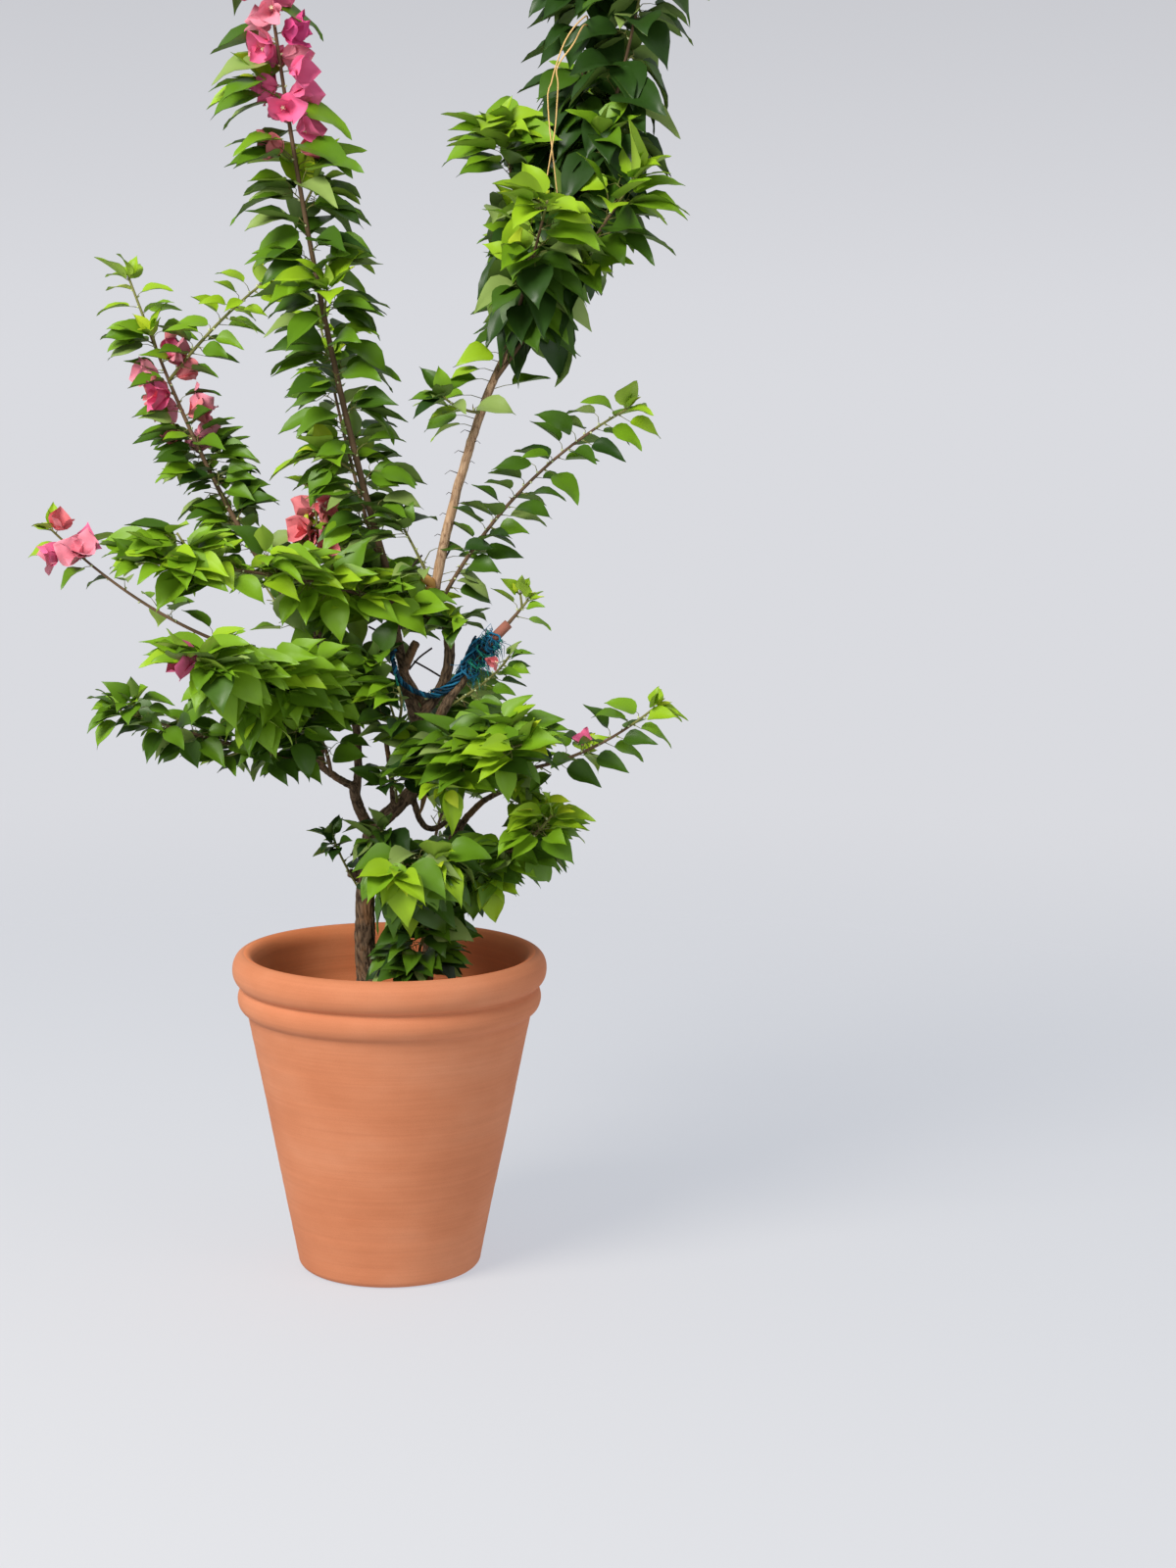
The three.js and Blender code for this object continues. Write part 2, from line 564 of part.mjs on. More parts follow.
for (const { node, solids } of masses.values()) {
  const joined = wasm.Manifold.union(solids).simplify(SLIVER);
  group.add(named(node, geometryOf(largestBody(joined)), materials.leaf));
}

export default group;
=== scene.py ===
"""The looks of a bougainvillea bush in its terracotta pot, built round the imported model.

The tables of limbs and shoots, the curves and the seeded side twigs repeat the part's source, apart from
the hang of left_level_shoot, which is 0.2 there. Here they are carried on to spurs, single leaves, bracts
and flowers. Lengths are in millimetres, +Z up, +Y to the back, and turn into metres where a mesh is made.
"""

import math
from types import SimpleNamespace

import bpy
import numpy as np
from mathutils import Matrix, Vector, kdtree, noise


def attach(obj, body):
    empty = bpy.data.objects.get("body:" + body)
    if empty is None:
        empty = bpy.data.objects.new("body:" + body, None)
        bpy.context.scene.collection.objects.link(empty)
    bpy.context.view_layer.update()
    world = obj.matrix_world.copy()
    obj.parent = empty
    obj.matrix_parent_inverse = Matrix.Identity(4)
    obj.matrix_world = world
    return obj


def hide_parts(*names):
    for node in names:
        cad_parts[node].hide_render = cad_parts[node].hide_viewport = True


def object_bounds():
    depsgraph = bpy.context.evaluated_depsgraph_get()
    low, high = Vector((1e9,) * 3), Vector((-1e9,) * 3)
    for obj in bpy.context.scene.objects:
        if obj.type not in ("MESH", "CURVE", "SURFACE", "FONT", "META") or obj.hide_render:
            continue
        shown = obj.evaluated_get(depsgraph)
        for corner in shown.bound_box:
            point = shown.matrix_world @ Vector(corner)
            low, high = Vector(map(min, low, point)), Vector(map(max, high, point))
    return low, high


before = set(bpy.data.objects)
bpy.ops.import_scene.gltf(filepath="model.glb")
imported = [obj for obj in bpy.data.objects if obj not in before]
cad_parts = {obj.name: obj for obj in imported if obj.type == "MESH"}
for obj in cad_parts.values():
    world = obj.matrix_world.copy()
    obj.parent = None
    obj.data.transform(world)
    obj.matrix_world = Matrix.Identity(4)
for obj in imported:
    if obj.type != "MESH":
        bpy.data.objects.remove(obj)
CAD_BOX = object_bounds()

MM = 0.001
GAP = 0.3
UP = np.array([0.0, 0.0, 1.0])
SUNNY_SIDE = np.array([-0.35, -0.85, 0.15])  # the leaves turn their faces this way
GOLDEN_ANGLE = math.radians(137.5)
PIECE_TRIANGLES = 180_000  # a joined piece is split above this

# Pot and soil, as in the source
POT_HEIGHT = 410
RIM = SimpleNamespace(middle=186, below=20, thick=14.5, tall=21)
BAND = SimpleNamespace(middle=180, below=57, thick=13.4, tall=18)
WALL_TOP_RADIUS = 179.5
WALL_TOP_BELOW_RIM = 75
BASE_RADIUS = 116
BASE_ROUNDING = 11
WALL_THICKNESS = 12
FLOOR_THICKNESS = 16
SOIL_LEVEL = 330
POT_SIDES = 180
SOIL_SIDES, SOIL_RINGS, CRUMBS = 96, 34, 420
TURNING_STEP = 4.0  # height between the rings of the pot's wall

# Growth, as in the source
TWIG_RADIUS = 1.9
SHOOT_TIP_RADIUS = 1.5
BARE_FOOT = 11
RANK_SPREAD = 0.9  # how far side twigs stray from the middle of their side, in radians
RANKS = 3  # sides of a shoot that bear twigs
LAST_TWIG = 0.92  # where the last side twig leaves, as a share of the shoot
TWIG_LEAN = 0.75  # how far twigs lean along their shoot
TWIG_RISE = 0.3  # and up
TWIG_SHORTENING = 0.45  # how much shorter they are at the shoot's tip
FLARE_LENGTH = 16  # how far a flare at a limb's foot reaches

# Growth of what is finer
STEM_STEP = 9.0
SPUR_RADII = (0.9, 0.6)
BRACT_LENGTH = 38
TOP_WHORL = 7  # leaves round the tip of a shoot


def limb(name, on, at, tip, bow, radii, flare=0):
    return SimpleNamespace(name=name, on=on, at=at, tip=tip, bow=bow, radii=radii, flare=flare)


# name, parent or foot, share of the parent's length where it leaves, tip, bow at mid length, end radii
LIMBS = [
    limb("trunk", (-24, 10, SOIL_LEVEL), 0, (-20, 5, 575), (-10, 0, 15), (14, 11), flare=11),
    limb("second_stem", (48, 45, SOIL_LEVEL), 0, (90, 30, 565), (-10, 0, 30), (8, 6.5), flare=4),
    limb("right_limb", "trunk", 0.97, (40, -10, 630), (5, -5, 5), (10, 9)),
    limb("left_limb", "trunk", 0.95, (-45, -5, 625), (-5, 0, 0), (7.5, 6.5)),
    limb("left_lower_bough", "left_limb", 0.98, (-95, -20, 660), (0, 0, -4), (5, 4)),
    limb("left_rising_bough", "left_limb", 0.8, (-104, 20, 832), (25, -5, 5), (5.5, 4.5)),
    limb("centre_limb", "right_limb", 0.98, (20, 0, 745), (10, -5, 0), (8.5, 7.5)),
    limb("middle_bough", "right_limb", 0.45, (-5, -30, 685), (0, 5, 0), (4, 3)),
    limb("cross_bough", "right_limb", 0.8, (72, 19, 575), (-5, 0, -25), (4.5, 3.5)),
    limb("upper_left_bough", "centre_limb", 0.98, (0, 10, 885), (0, 0, -5), (6.5, 5)),
    limb("upper_right_bough", "centre_limb", 0.68, (54, 0, 870), (30, 0, -5), (7, 6.5)),
    limb("tall_right_bough", "upper_right_bough", 0.98, (155, 20, 1185), (-10, -5, 15), (6.5, 5)),
    limb("right_low_bough", "second_stem", 0.94, (155, 10, 620), (-5, 0, 10), (5, 3.5)),
    limb("right_short_bough", "centre_limb", 0.36, (148, -20, 832), (-3, -6, 12), (7, 5.5)),
]


def shoot(name, on, at, tip, bow, radius, twigs=0, reach=0, hang=0.3, bloom=(2, 2),
          leaf=54, spurs=(0, 0.97), crowd=4, tone=0.0, young=70, internode=20, skirt=0.0, foot=0, bared=0.0,
          depth=0.75, pale=0.12, coral=0.3, lone=()):
    """The first row of values is the source's. Leaves are this long, and spurs grow on a stretch of the shoot
    with a crowd of leaves each. A higher tone makes them darker, and young is the length of the light tip.
    The tone is partly the shoot's own colour and partly painted shade on shoots deep in the crown, and a
    low tone paints light on sunlit ones.
    Skirt makes the leaves near its foot longer and lets them hang, and the foot itself is bare. Bared is the
    share of leaves that may not hide the stem, depth how far leaves point to the front and back, pale the
    share of dull leaves and coral that of warm bracts. Lone bracts have their share of its length, their size
    and how far they rise."""
    return SimpleNamespace(**locals())


SHOOTS = [
    shoot("left_tall_shoot", "upper_left_bough", 0.98, (-160, -20, 1715), (-10, 5, -45), 4.6, 4, 55,
          hang=0.45, bloom=(0.63, 1), leaf=80, spurs=(0, 0.64), crowd=3, tone=-0.02, young=60, internode=16,
          skirt=-0.75, bared=0.85, depth=0.6, pale=0.18, coral=0.2),
    shoot("left_mid_shoot", "left_rising_bough", 0.98, (-333, 148, 1258), (5, -5, -60), 4, 2, 50, hang=0.35,
          bloom=(0.56, 0.82), leaf=50, spurs=(0, 0.56), crowd=5, tone=0.02, young=130, internode=11,
          bared=0.8, depth=0.5, coral=0.8),
    shoot("left_side_shoot", "left_mid_shoot", 0.72, (-160, 60, 1250), (-3, 5, 5), 2.4, leaf=43,
          spurs=(2, 2), tone=-0.12, young=130, internode=7, bared=0.7, depth=0.4),
    shoot("left_level_shoot", "upper_right_bough", 0.75, (-300, -120, 912), (15, -5, 16), 3.6, 3, 70,
          hang=0.28, leaf=60, crowd=5, tone=-0.26, young=20, internode=12, bared=0.3, depth=0.35,
          pale=0.05),
    shoot("left_long_shoot", "left_rising_bough", 0.7, (-430, 90, 940), (-5, 10, -40), 3, 1, 45,
          bloom=(0.86, 1), leaf=44, spurs=(0.5, 0.64), young=50, internode=22, bared=0.7, coral=0.6),
    shoot("left_front_shoot", "left_rising_bough", 0.62, (-242, -250, 806), (0, -30, 0), 3, 2, 70,
          hang=0.18, leaf=62, crowd=6, tone=-0.2, young=25, internode=16, depth=0.25, pale=0.06,
          lone=((0.75, 1.4, 0.35),)),
    shoot("left_lower_shoot", "left_lower_bough", 0.97, (-332, -110, 734), (10, 5, -10), 3.2, 2, 50,
          hang=0.42, leaf=44, spurs=(0, 0.8), crowd=3, tone=0.06, young=25, internode=10.5, bared=0.8,
          depth=0.5),
    shoot("left_lower_fan", "left_lower_bough", 0.55, (-215, -130, 768), (30, 0, 24), 2.6, 2, 70, hang=0.14,
          crowd=5, tone=0.04, young=20, depth=0.2, pale=0.05),
    shoot("bloom_shoot", "left_rising_bough", 0.93, (-97, 40, 998), (5, 20, 0), 2.4, 1, 40, bloom=(0.5, 1),
          leaf=36, crowd=3, tone=-0.1, coral=1.0),
    shoot("top_right_crown", "tall_right_bough", 0.98, (290, 90, 1835), (5, 5, -75), 4.6, 5, 50, hang=0.65,
          leaf=74, crowd=3, tone=0.42, young=40, internode=18, skirt=0.3, foot=90, pale=0.04),
    shoot("right_crown_shoot", "tall_right_bough", 0.93, (316, 20, 1650), (10, -10, -50), 3.2, 2, 50,
          hang=0.65, leaf=74, crowd=3, tone=0.38, young=40, skirt=0.5, foot=90, pale=0.07),
    shoot("lime_fan", "tall_right_bough", 0.86, (186, -140, 1345), (0, 0, -10), 2.8, 1, 40, hang=0.25,
          leaf=70, young=80, internode=15, skirt=0.9, foot=85),
    shoot("right_top_shoot", "tall_right_bough", 0.82, (296, -60, 1378), (5, -10, 5), 2.8, 2, 50, hang=0.25,
          leaf=72, tone=0.08, internode=17, skirt=1.0, foot=90),
    shoot("left_top_shoot", "tall_right_bough", 0.89, (137, 55, 1438), (22, 20, 10), 2.6, 2, 40, leaf=74,
          crowd=6, tone=0.1, young=50, internode=13, skirt=0.4, foot=90),
    shoot("bare_stem_shoot", "tall_right_bough", 0.7, (66, -40, 1112), (0, -5, -5), 2.2, leaf=50,
          spurs=(2, 2), tone=0.06, young=0, internode=22, pale=0.7),
    shoot("right_sparse_shoot", "upper_right_bough", 0.9, (290, -60, 1100), (-15, 0, 20), 2.8, leaf=46,
          spurs=(2, 2), tone=0.1, young=60, internode=7.5, bared=0.8, depth=0.5),
    shoot("right_short_shoot", "right_short_bough", 0.98, (172, -25, 862), (2, 0, 2), 2.6, 1, 24, hang=0.25,
          leaf=30, spurs=(2, 2), tone=-0.1, young=30, internode=6, depth=0.4),
    shoot("right_level_shoot", "centre_limb", 0.2, (327, -80, 733), (5, -15, -35), 3.2, 2, 30, hang=0.28,
          leaf=44, spurs=(0, 0.5), crowd=3, tone=0.02, young=60, internode=8, bared=0.5, depth=0.4,
          lone=((0.7, 0.55, 0.5),)),
    shoot("right_fan", "centre_limb", 0.5, (168, -170, 702), (-15, -20, -15), 2.8, 2, 65, hang=0.2, leaf=60,
          crowd=5, tone=-0.08, young=50, internode=15, depth=0.2, pale=0.1),
    shoot("low_right_shoot", "second_stem", 0.85, (200, -110, 604), (0, -20, -25), 3, 2, 55, hang=0.4,
          crowd=6, young=60, internode=14, depth=0.35, pale=0.1),
    shoot("low_front_shoot", "second_stem", 0.72, (12, -170, 540), (-4, -20, 22), 3, 2, 75, hang=0.6,
          leaf=62, crowd=5, tone=0.05, young=30, internode=16, skirt=0.5, depth=0.45, pale=0.14),
    shoot("pot_shoot", "second_stem", 0.3, (45, -50, 450), (-10, 5, -20), 2.2, 2, 45, crowd=6, tone=0.14,
          young=0, internode=16),
    shoot("trunk_shoot", "trunk", 0.6, (-72, -10, 560), (-5, -5, 5), 1.6, 2, 26, leaf=32, spurs=(2, 2),
          tone=0.35, young=0, internode=12),
    shoot("right_low_shoot", "right_low_bough", 0.97, (160, -45, 612), (0, 5, 0), 2.6, 2, 45, leaf=46,
          crowd=3, tone=0.05),
    shoot("middle_shoot", "middle_bough", 0.97, (10, -90, 760), (10, -10, 0), 2.4, 2, 60, tone=0.1,
          young=20),
    shoot("inner_shoot", "left_rising_bough", 0.4, (-15, -60, 800), (5, 0, 0), 2.4, 2, 55, young=20),
    shoot("back_left_shoot", "left_rising_bough", 0.74, (-170, 340, 850), (0, 25, -15), 3, 2, 80, crowd=5,
          tone=0.05),
    shoot("back_middle_shoot", "upper_left_bough", 0.45, (-40, 340, 905), (5, 30, 0), 3, 2, 80, crowd=5,
          tone=0.05),
    shoot("back_right_shoot", "centre_limb", 0.84, (110, 310, 680), (0, 30, 15), 3, 2, 75, crowd=5,
          tone=0.08),
    shoot("back_low_shoot", "second_stem", 0.62, (95, 270, 585), (-15, 0, 10), 2.8, 2, 70, hang=0.5,
          crowd=5, tone=0.1),
    shoot("back_tall_shoot", "upper_left_bough", 0.82, (-92, 240, 1205), (0, 25, -30), 3, 2, 40, leaf=46,
          tone=0.05),
    shoot("back_top_shoot", "tall_right_bough", 0.965, (260, 250, 1515), (0, 5, -40), 3, 2, 75, hang=0.5,
          leaf=62, crowd=5, tone=0.15),
    shoot("right_inner_shoot", "upper_right_bough", 0.6, (82, -44, 834), (0, 0, 5), 2.4, 1, 24, hang=0.4,
          leaf=50, crowd=8, tone=0.14, young=20, internode=6),
    shoot("right_edge_shoot", "right_short_bough", 0.3, (148, -35, 792), (12, 0, 2), 2, leaf=31,
          spurs=(2, 2), young=20, internode=4.5, depth=0.4, lone=((0.95, 0.55, -0.2),)),
    shoot("fork_shoot", "right_limb", 0.5, (5, -65, 640), (0, -5, 8), 2, 1, 26, hang=0.6, leaf=46,
          spurs=(2, 2), tone=0.35, young=0, internode=13),
    shoot("trunk_front_shoot", "trunk", 0.8, (-8, -55, 575), (0, -8, 8), 2, 1, 26, hang=0.6, leaf=52,
          spurs=(2, 2), tone=0.3, young=0, internode=13),
    shoot("stem_foot_shoot", "upper_right_bough", 0.93, (18, -10, 948), (6, 0, -8), 2.2, hang=0.35, leaf=46,
          spurs=(0.35, 1), tone=0.1, young=0, internode=10, pale=0.3),
]


# --- vectors and curves -------------------------------------------------------------------------------

def vector(values):
    return np.array(values, float)


def unit(v):
    return v / np.linalg.norm(v)


def cross(a, b):
    return np.array([
        a[1] * b[2] - a[2] * b[1],
        a[2] * b[0] - a[0] * b[2],
        a[0] * b[1] - a[1] * b[0],
    ])


def turned(v, axis, angle):
    """v turned round a unit axis."""
    across = cross(axis, v)
    return v * math.cos(angle) + across * math.sin(angle) + axis * (axis @ v) * (1 - math.cos(angle))


class Axis:
    """The middle line of a limb, shoot or twig, with its radius. Places on it are shares of its length."""

    DIVISIONS = 200

    def __init__(self, start, control, tip, radii, flare=0):
        self.start, self.control, self.tip = start, control, tip
        self.radii, self.flare = radii, flare
        self.parameters = np.linspace(0, 1, self.DIVISIONS + 1)
        t = self.parameters[:, None]
        line = (1 - t) ** 2 * start + 2 * t * (1 - t) * control + t ** 2 * tip
        steps = np.linalg.norm(np.diff(line, axis=0), axis=1)
        self.lengths = np.concatenate([[0], np.cumsum(steps)])
        self.length = self.lengths[-1]
        upright = abs(unit(tip - start)[2]) > 0.7
        self.reference = vector((1, 0, 0)) if upright else UP

    def parameter(self, share):
        return np.interp(share * self.length, self.lengths, self.parameters)

    def point(self, share):
        t = self.parameter(share)
        return (1 - t) ** 2 * self.start + 2 * t * (1 - t) * self.control + t ** 2 * self.tip

    def tangent(self, share):
        t = self.parameter(share)
        return unit((1 - t) * (self.control - self.start) + t * (self.tip - self.control))

    def radius(self, share):
        flare = self.flare * math.exp(-share * self.length / FLARE_LENGTH)
        return self.radii[0] + (self.radii[1] - self.radii[0]) * share + flare

    def outward(self, share, angle):
        """A unit vector square to the line, at an angle round it."""
        tangent = self.tangent(share)
        return turned(unit(cross(tangent, self.reference)), tangent, angle)

    def points(self, step):
        shares = np.linspace(0, 1, max(2, round(self.length / step) + 1))
        return np.array([self.point(s) for s in shares]), [self.radius(s) for s in shares]


def straight(start, direction, length, radii):
    tip = start + direction * length
    return Axis(start, (start + tip) / 2, tip, radii)


def seeded(seed):
    """The source's stream of numbers for one shoot."""
    state = seed

    def draw():
        nonlocal state
        state = (1664525 * state + 1013904223) % 2 ** 32
        return state / 2 ** 32
    return draw


def lay_out(rows):
    """Every limb's and shoot's axis by name, each from its parent's."""
    axes = {}
    for row in rows:
        start = vector(row.on) if isinstance(row.on, tuple) else axes[row.on].point(row.at)
        tip = vector(row.tip)
        control = (start + tip) / 2 + 2 * vector(row.bow)
        radii = row.radii if hasattr(row, "radii") else (row.radius, SHOOT_TIP_RADIUS)
        axes[row.name] = Axis(start, control, tip, radii, getattr(row, "flare", 0))
    return axes


# --- materials ----------------------------------------------------------------------------------------

def new_material(name, colour, roughness, specular=0.5):
    """A Principled material. Returns it with its nodes, its links and the shader."""
    material = bpy.data.materials.new(name)
    material.use_nodes = True
    nodes, links = material.node_tree.nodes, material.node_tree.links
    shader = nodes["Principled BSDF"]
    shader.inputs["Base Color"].default_value = (*colour, 1)
    shader.inputs["Roughness"].default_value = roughness
    shader.inputs["Specular IOR Level"].default_value = specular
    return material, nodes, links, shader


def object_coordinates(nodes, links, scale):
    """The place on the object in metres, times a scale for each axis."""
    place = nodes.new("ShaderNodeTexCoord")
    mapping = nodes.new("ShaderNodeMapping")
    mapping.inputs["Scale"].default_value = scale
    links.new(place.outputs["Object"], mapping.inputs["Vector"])
    return mapping.outputs["Vector"]


def noise_value(nodes, links, coordinates, detail, roughness=0.55, distortion=0.0):
    texture = nodes.new("ShaderNodeTexNoise")
    texture.inputs["Scale"].default_value = 1
    texture.inputs["Detail"].default_value = detail
    texture.inputs["Roughness"].default_value = roughness
    texture.inputs["Distortion"].default_value = distortion
    links.new(coordinates, texture.inputs["Vector"])
    return texture.outputs["Fac"]


def ramp(nodes, links, value, stops):
    """A colour ramp through (place, colour) stops."""
    node = nodes.new("ShaderNodeValToRGB")
    elements = node.color_ramp.elements
    while len(elements) < len(stops):
        elements.new(0.5)
    for element, (place, colour) in zip(elements, stops):
        element.position = place
        element.color = (*colour, 1)
    links.new(value, node.inputs["Fac"])
    return node.outputs["Color"]


def mixed(nodes, links, factor, a, b, blend="MIX"):
    """Two colours mixed by a plain number or a value."""
    node = nodes.new("ShaderNodeMix")
    node.data_type = "RGBA"
    node.blend_type = blend
    if isinstance(factor, (int, float)):
        node.inputs["Factor"].default_value = factor
    else:
        links.new(factor, node.inputs["Factor"])
    for socket, value in ((node.inputs["A"], a), (node.inputs["B"], b)):
        if isinstance(value, tuple):
            socket.default_value = (*value, 1)
        else:
            links.new(value, socket)
    return node.outputs["Result"]


def add_bump(nodes, links, shader, height, strength, distance):
    bump = nodes.new("ShaderNodeBump")
    bump.inputs["Strength"].default_value = strength
    bump.inputs["Distance"].default_value = distance
    links.new(height, bump.inputs["Height"])
    links.new(bump.outputs["Normal"], shader.inputs["Normal"])


def mapped_range(nodes, links, value, low, high):
    node = nodes.new("ShaderNodeMapRange")
    node.inputs["To Min"].default_value = low
    node.inputs["To Max"].default_value = high
    links.new(value, node.inputs["Value"])
    return node.outputs["Result"]


def terracotta_material():
    material, nodes, links, shader = new_material("terracotta", (0.62, 0.25, 0.14), 0.8, 0.25)
    cloudy = noise_value(nodes, links, object_coordinates(nodes, links, (7, 7, 11)), 4)
    turning = noise_value(nodes, links, object_coordinates(nodes, links, (5, 5, 260)), 3, 0.6)
    grain = noise_value(nodes, links, object_coordinates(nodes, links, (900, 900, 900)), 2)
    clay = ramp(nodes, links, cloudy, [
        (0.25, (0.56, 0.19, 0.083)),
        (0.5, (0.62, 0.226, 0.106)),
        (0.75, (0.67, 0.27, 0.14)),
    ])
    lines = ramp(nodes, links, turning, [(0.35, (0.86, 0.84, 0.82)), (0.65, (1.0, 1.0, 1.0))])
    speckle = ramp(nodes, links, grain, [(0.3, (0.9, 0.88, 0.86)), (0.5, (1.0, 1.0, 1.0))])
    lined = mixed(nodes, links, 0.4, clay, lines, "MULTIPLY")
    outer = mixed(nodes, links, 0.6, lined, speckle, "MULTIPLY")
    # Painted bounce light: the inside wall is painted lighter and warmer than the outside.
    shelter = nodes.new("ShaderNodeAttribute")
    shelter.attribute_name = "inner"
    inner = mixed(nodes, links, 1.0, outer, (1.4, 1.2, 1.0), "MULTIPLY")
    links.new(mixed(nodes, links, shelter.outputs["Fac"], outer, inner), shader.inputs["Base Color"])
    links.new(mapped_range(nodes, links, cloudy, 0.68, 0.9), shader.inputs["Roughness"])
    add_bump(nodes, links, shader, turning, 0.25, 0.0008)
    return material


def soil_material():
    material, nodes, links, shader = new_material("soil", (0.05, 0.032, 0.02), 0.95, 0.2)
    lumps = noise_value(nodes, links, object_coordinates(nodes, links, (160, 160, 160)), 6, 0.7)
    colour = ramp(nodes, links, lumps, [
        (0.32, (0.018, 0.011, 0.007)),
        (0.5, (0.06, 0.038, 0.024)),
        (0.68, (0.14, 0.095, 0.062)),
    ])
    links.new(colour, shader.inputs["Base Color"])
    add_bump(nodes, links, shader, lumps, 0.6, 0.002)
    return material


def bark_material(name, deep, middle, ridge, warm):
    """Bark whose cracks, kept on the mesh as relief, are painted darker than its ridges as painted shade in
    the cracks, with warm patches where it has flaked."""
    material, nodes, links, shader = new_material(name, middle, 0.85, 0.25)
    relief = nodes.new("ShaderNodeAttribute")
    relief.attribute_name = "relief"
    fibres = noise_value(nodes, links, object_coordinates(nodes, links, (420, 420, 70)), 5, 0.65)
    blotches = noise_value(nodes, links, object_coordinates(nodes, links, (45, 45, 25)), 3)
    # Painted shade: the cracks are painted dark and the ridges light, by the relief.
    colour = ramp(nodes, links, relief.outputs["Fac"], [(0.08, deep), (0.4, middle), (0.9, ridge)])
    streaks = ramp(nodes, links, fibres, [(0.3, (0.62, 0.6, 0.58)), (0.62, (1.0, 1.0, 1.0))])
    patches = ramp(nodes, links, blotches, [(0.35, (0.8, 0.76, 0.72)), (0.65, (1.12, 1.1, 1.08))])
    streaked = mixed(nodes, links, 0.85, colour, streaks, "MULTIPLY")
    patched = mixed(nodes, links, 0.8, streaked, patches, "MULTIPLY")
    flaking = noise_value(nodes, links, object_coordinates(nodes, links, (38, 38, 16)), 4, 0.6)
    flakes = ramp(nodes, links, flaking, [(0.54, (0.0, 0.0, 0.0)), (0.64, (0.75, 0.75, 0.75))])
    links.new(mixed(nodes, links, flakes, patched, warm), shader.inputs["Base Color"])
    links.new(mapped_range(nodes, links, fibres, 0.7, 0.95), shader.inputs["Roughness"])
    add_bump(nodes, links, shader, fibres, 0.35, 0.0008)
    return material


# Leaves, stems and flowers have plain base colours, dealt out by spray.
PLAIN = {
    "leaf_lime": ((0.48, 0.6, 0.025), 0.45),
    "leaf_bright": ((0.28, 0.46, 0.014), 0.44),
    "leaf_fresh": ((0.17, 0.33, 0.011), 0.43),
    "leaf_mid": ((0.1, 0.215, 0.009), 0.42),
    "leaf_deep": ((0.05, 0.12, 0.008), 0.4),
    "leaf_dark": ((0.022, 0.06, 0.008), 0.38),
    "leaf_pale": ((0.24, 0.34, 0.085), 0.48),
    "under_light": ((0.3, 0.45, 0.05), 0.55),
    "under_dull": ((0.15, 0.24, 0.045), 0.6),
    "young_stems": ((0.2, 0.2, 0.055), 0.55),
    "woody_stems": ((0.15, 0.092, 0.05), 0.75),
    "dark_twigs": ((0.05, 0.034, 0.026), 0.8),
    "thorns": ((0.2, 0.13, 0.07), 0.6),
    "bract_pink": ((0.82, 0.15, 0.31), 0.6),
    # The pink bracts' darker copy, for painted shade.
    "bract_rose": ((0.66, 0.08, 0.25), 0.6),
    "bract_coral": ((0.76, 0.21, 0.23), 0.6),
    "bract_pale": ((0.8, 0.28, 0.36), 0.6),
    "flowers": ((0.85, 0.78, 0.5), 0.5),
    "buds": ((0.62, 0.68, 0.36), 0.5),
    "knob": ((0.6, 0.32, 0.09), 0.8),
    "knob_face": ((0.85, 0.68, 0.38), 0.8),
    "flayed_bark": ((0.34, 0.13, 0.09), 0.85),
    "straws": ((0.72, 0.46, 0.18), 0.6),
    "dry_leaf": ((0.3, 0.17, 0.08), 0.75),
    # The blue twine's darker copy, for painted shade.
    "twine_dark": ((0.008, 0.045, 0.085), 0.6),
    "twine_blue": ((0.018, 0.17, 0.31), 0.6),
    "twine_green": ((0.03, 0.36, 0.24), 0.6),
}


def plain_material(name):
    colour, roughness = PLAIN[name]
    return new_material(name, colour, roughness, 0.28 if name.startswith("leaf") else 0.2)[0]


# --- meshes -------------------------------------------------------------------------------------------

class Pile:
    """Points in millimetres and faces of one kind, gathered for a joined mesh."""

    def __init__(self):
        self.points, self.faces, self.count = [], [], 0

    def add(self, points, faces):
        self.points.append(points)
        self.faces += [[i + self.count for i in face] for face in faces]
        self.count += len(points)


def new_object(name, data):
    thing = bpy.data.objects.new(name, data)
    bpy.context.scene.collection.objects.link(thing)
    return thing


def mesh_object(name, points, faces, material, smooth=True):
    mesh = bpy.data.meshes.new(name)
    mesh.from_pydata((np.asarray(points) * MM).tolist(), [], faces)
    mesh.update()
    if smooth:
        mesh.shade_smooth()
    mesh.materials.append(material)
    return new_object(name, mesh)


def finish_piece(thing, slot, nodes=()):
    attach(thing, "root")
    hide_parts(*nodes)
    return thing


def rings_to_faces(rings, sides, closed=True):
    """Quads between rings of points, and a flat end on each."""
    faces = []
    for i in range(rings - 1):
        for k in range(sides):
            a, b = i * sides + k, i * sides + (k + 1) % sides
            faces.append([a, b, b + sides, a + sides])
    if closed:
        last = (rings - 1) * sides
        faces.append(list(range(sides))[::-1])
        faces.append([last + k for k in range(sides)])
    return faces


def tube(line, radii, sides):
    """A tube along points, with a radius at each."""
    line = np.asarray(line, float)
    tangents = np.gradient(line, axis=0)
    tangents /= np.linalg.norm(tangents, axis=1)[:, None]
    chord = unit(line[-1] - line[0]) if np.linalg.norm(line[-1] - line[0]) > 1e-6 else tangents[0]
    reference = vector((1, 0, 0)) if abs(chord[0]) < 0.6 else vector((0, 1, 0.3))
    side = np.cross(tangents, reference)
    side /= np.linalg.norm(side, axis=1)[:, None]
    other = np.cross(tangents, side)
    angles = 2 * np.pi * np.arange(sides) / sides
    cosines, sines = np.cos(angles)[None, :, None], np.sin(angles)[None, :, None]
    ring = cosines * side[:, None, :] + sines * other[:, None, :]
    points = line[:, None, :] + np.asarray(radii, float)[:, None, None] * ring
    return points.reshape(-1, 3), rings_to_faces(len(line), sides)


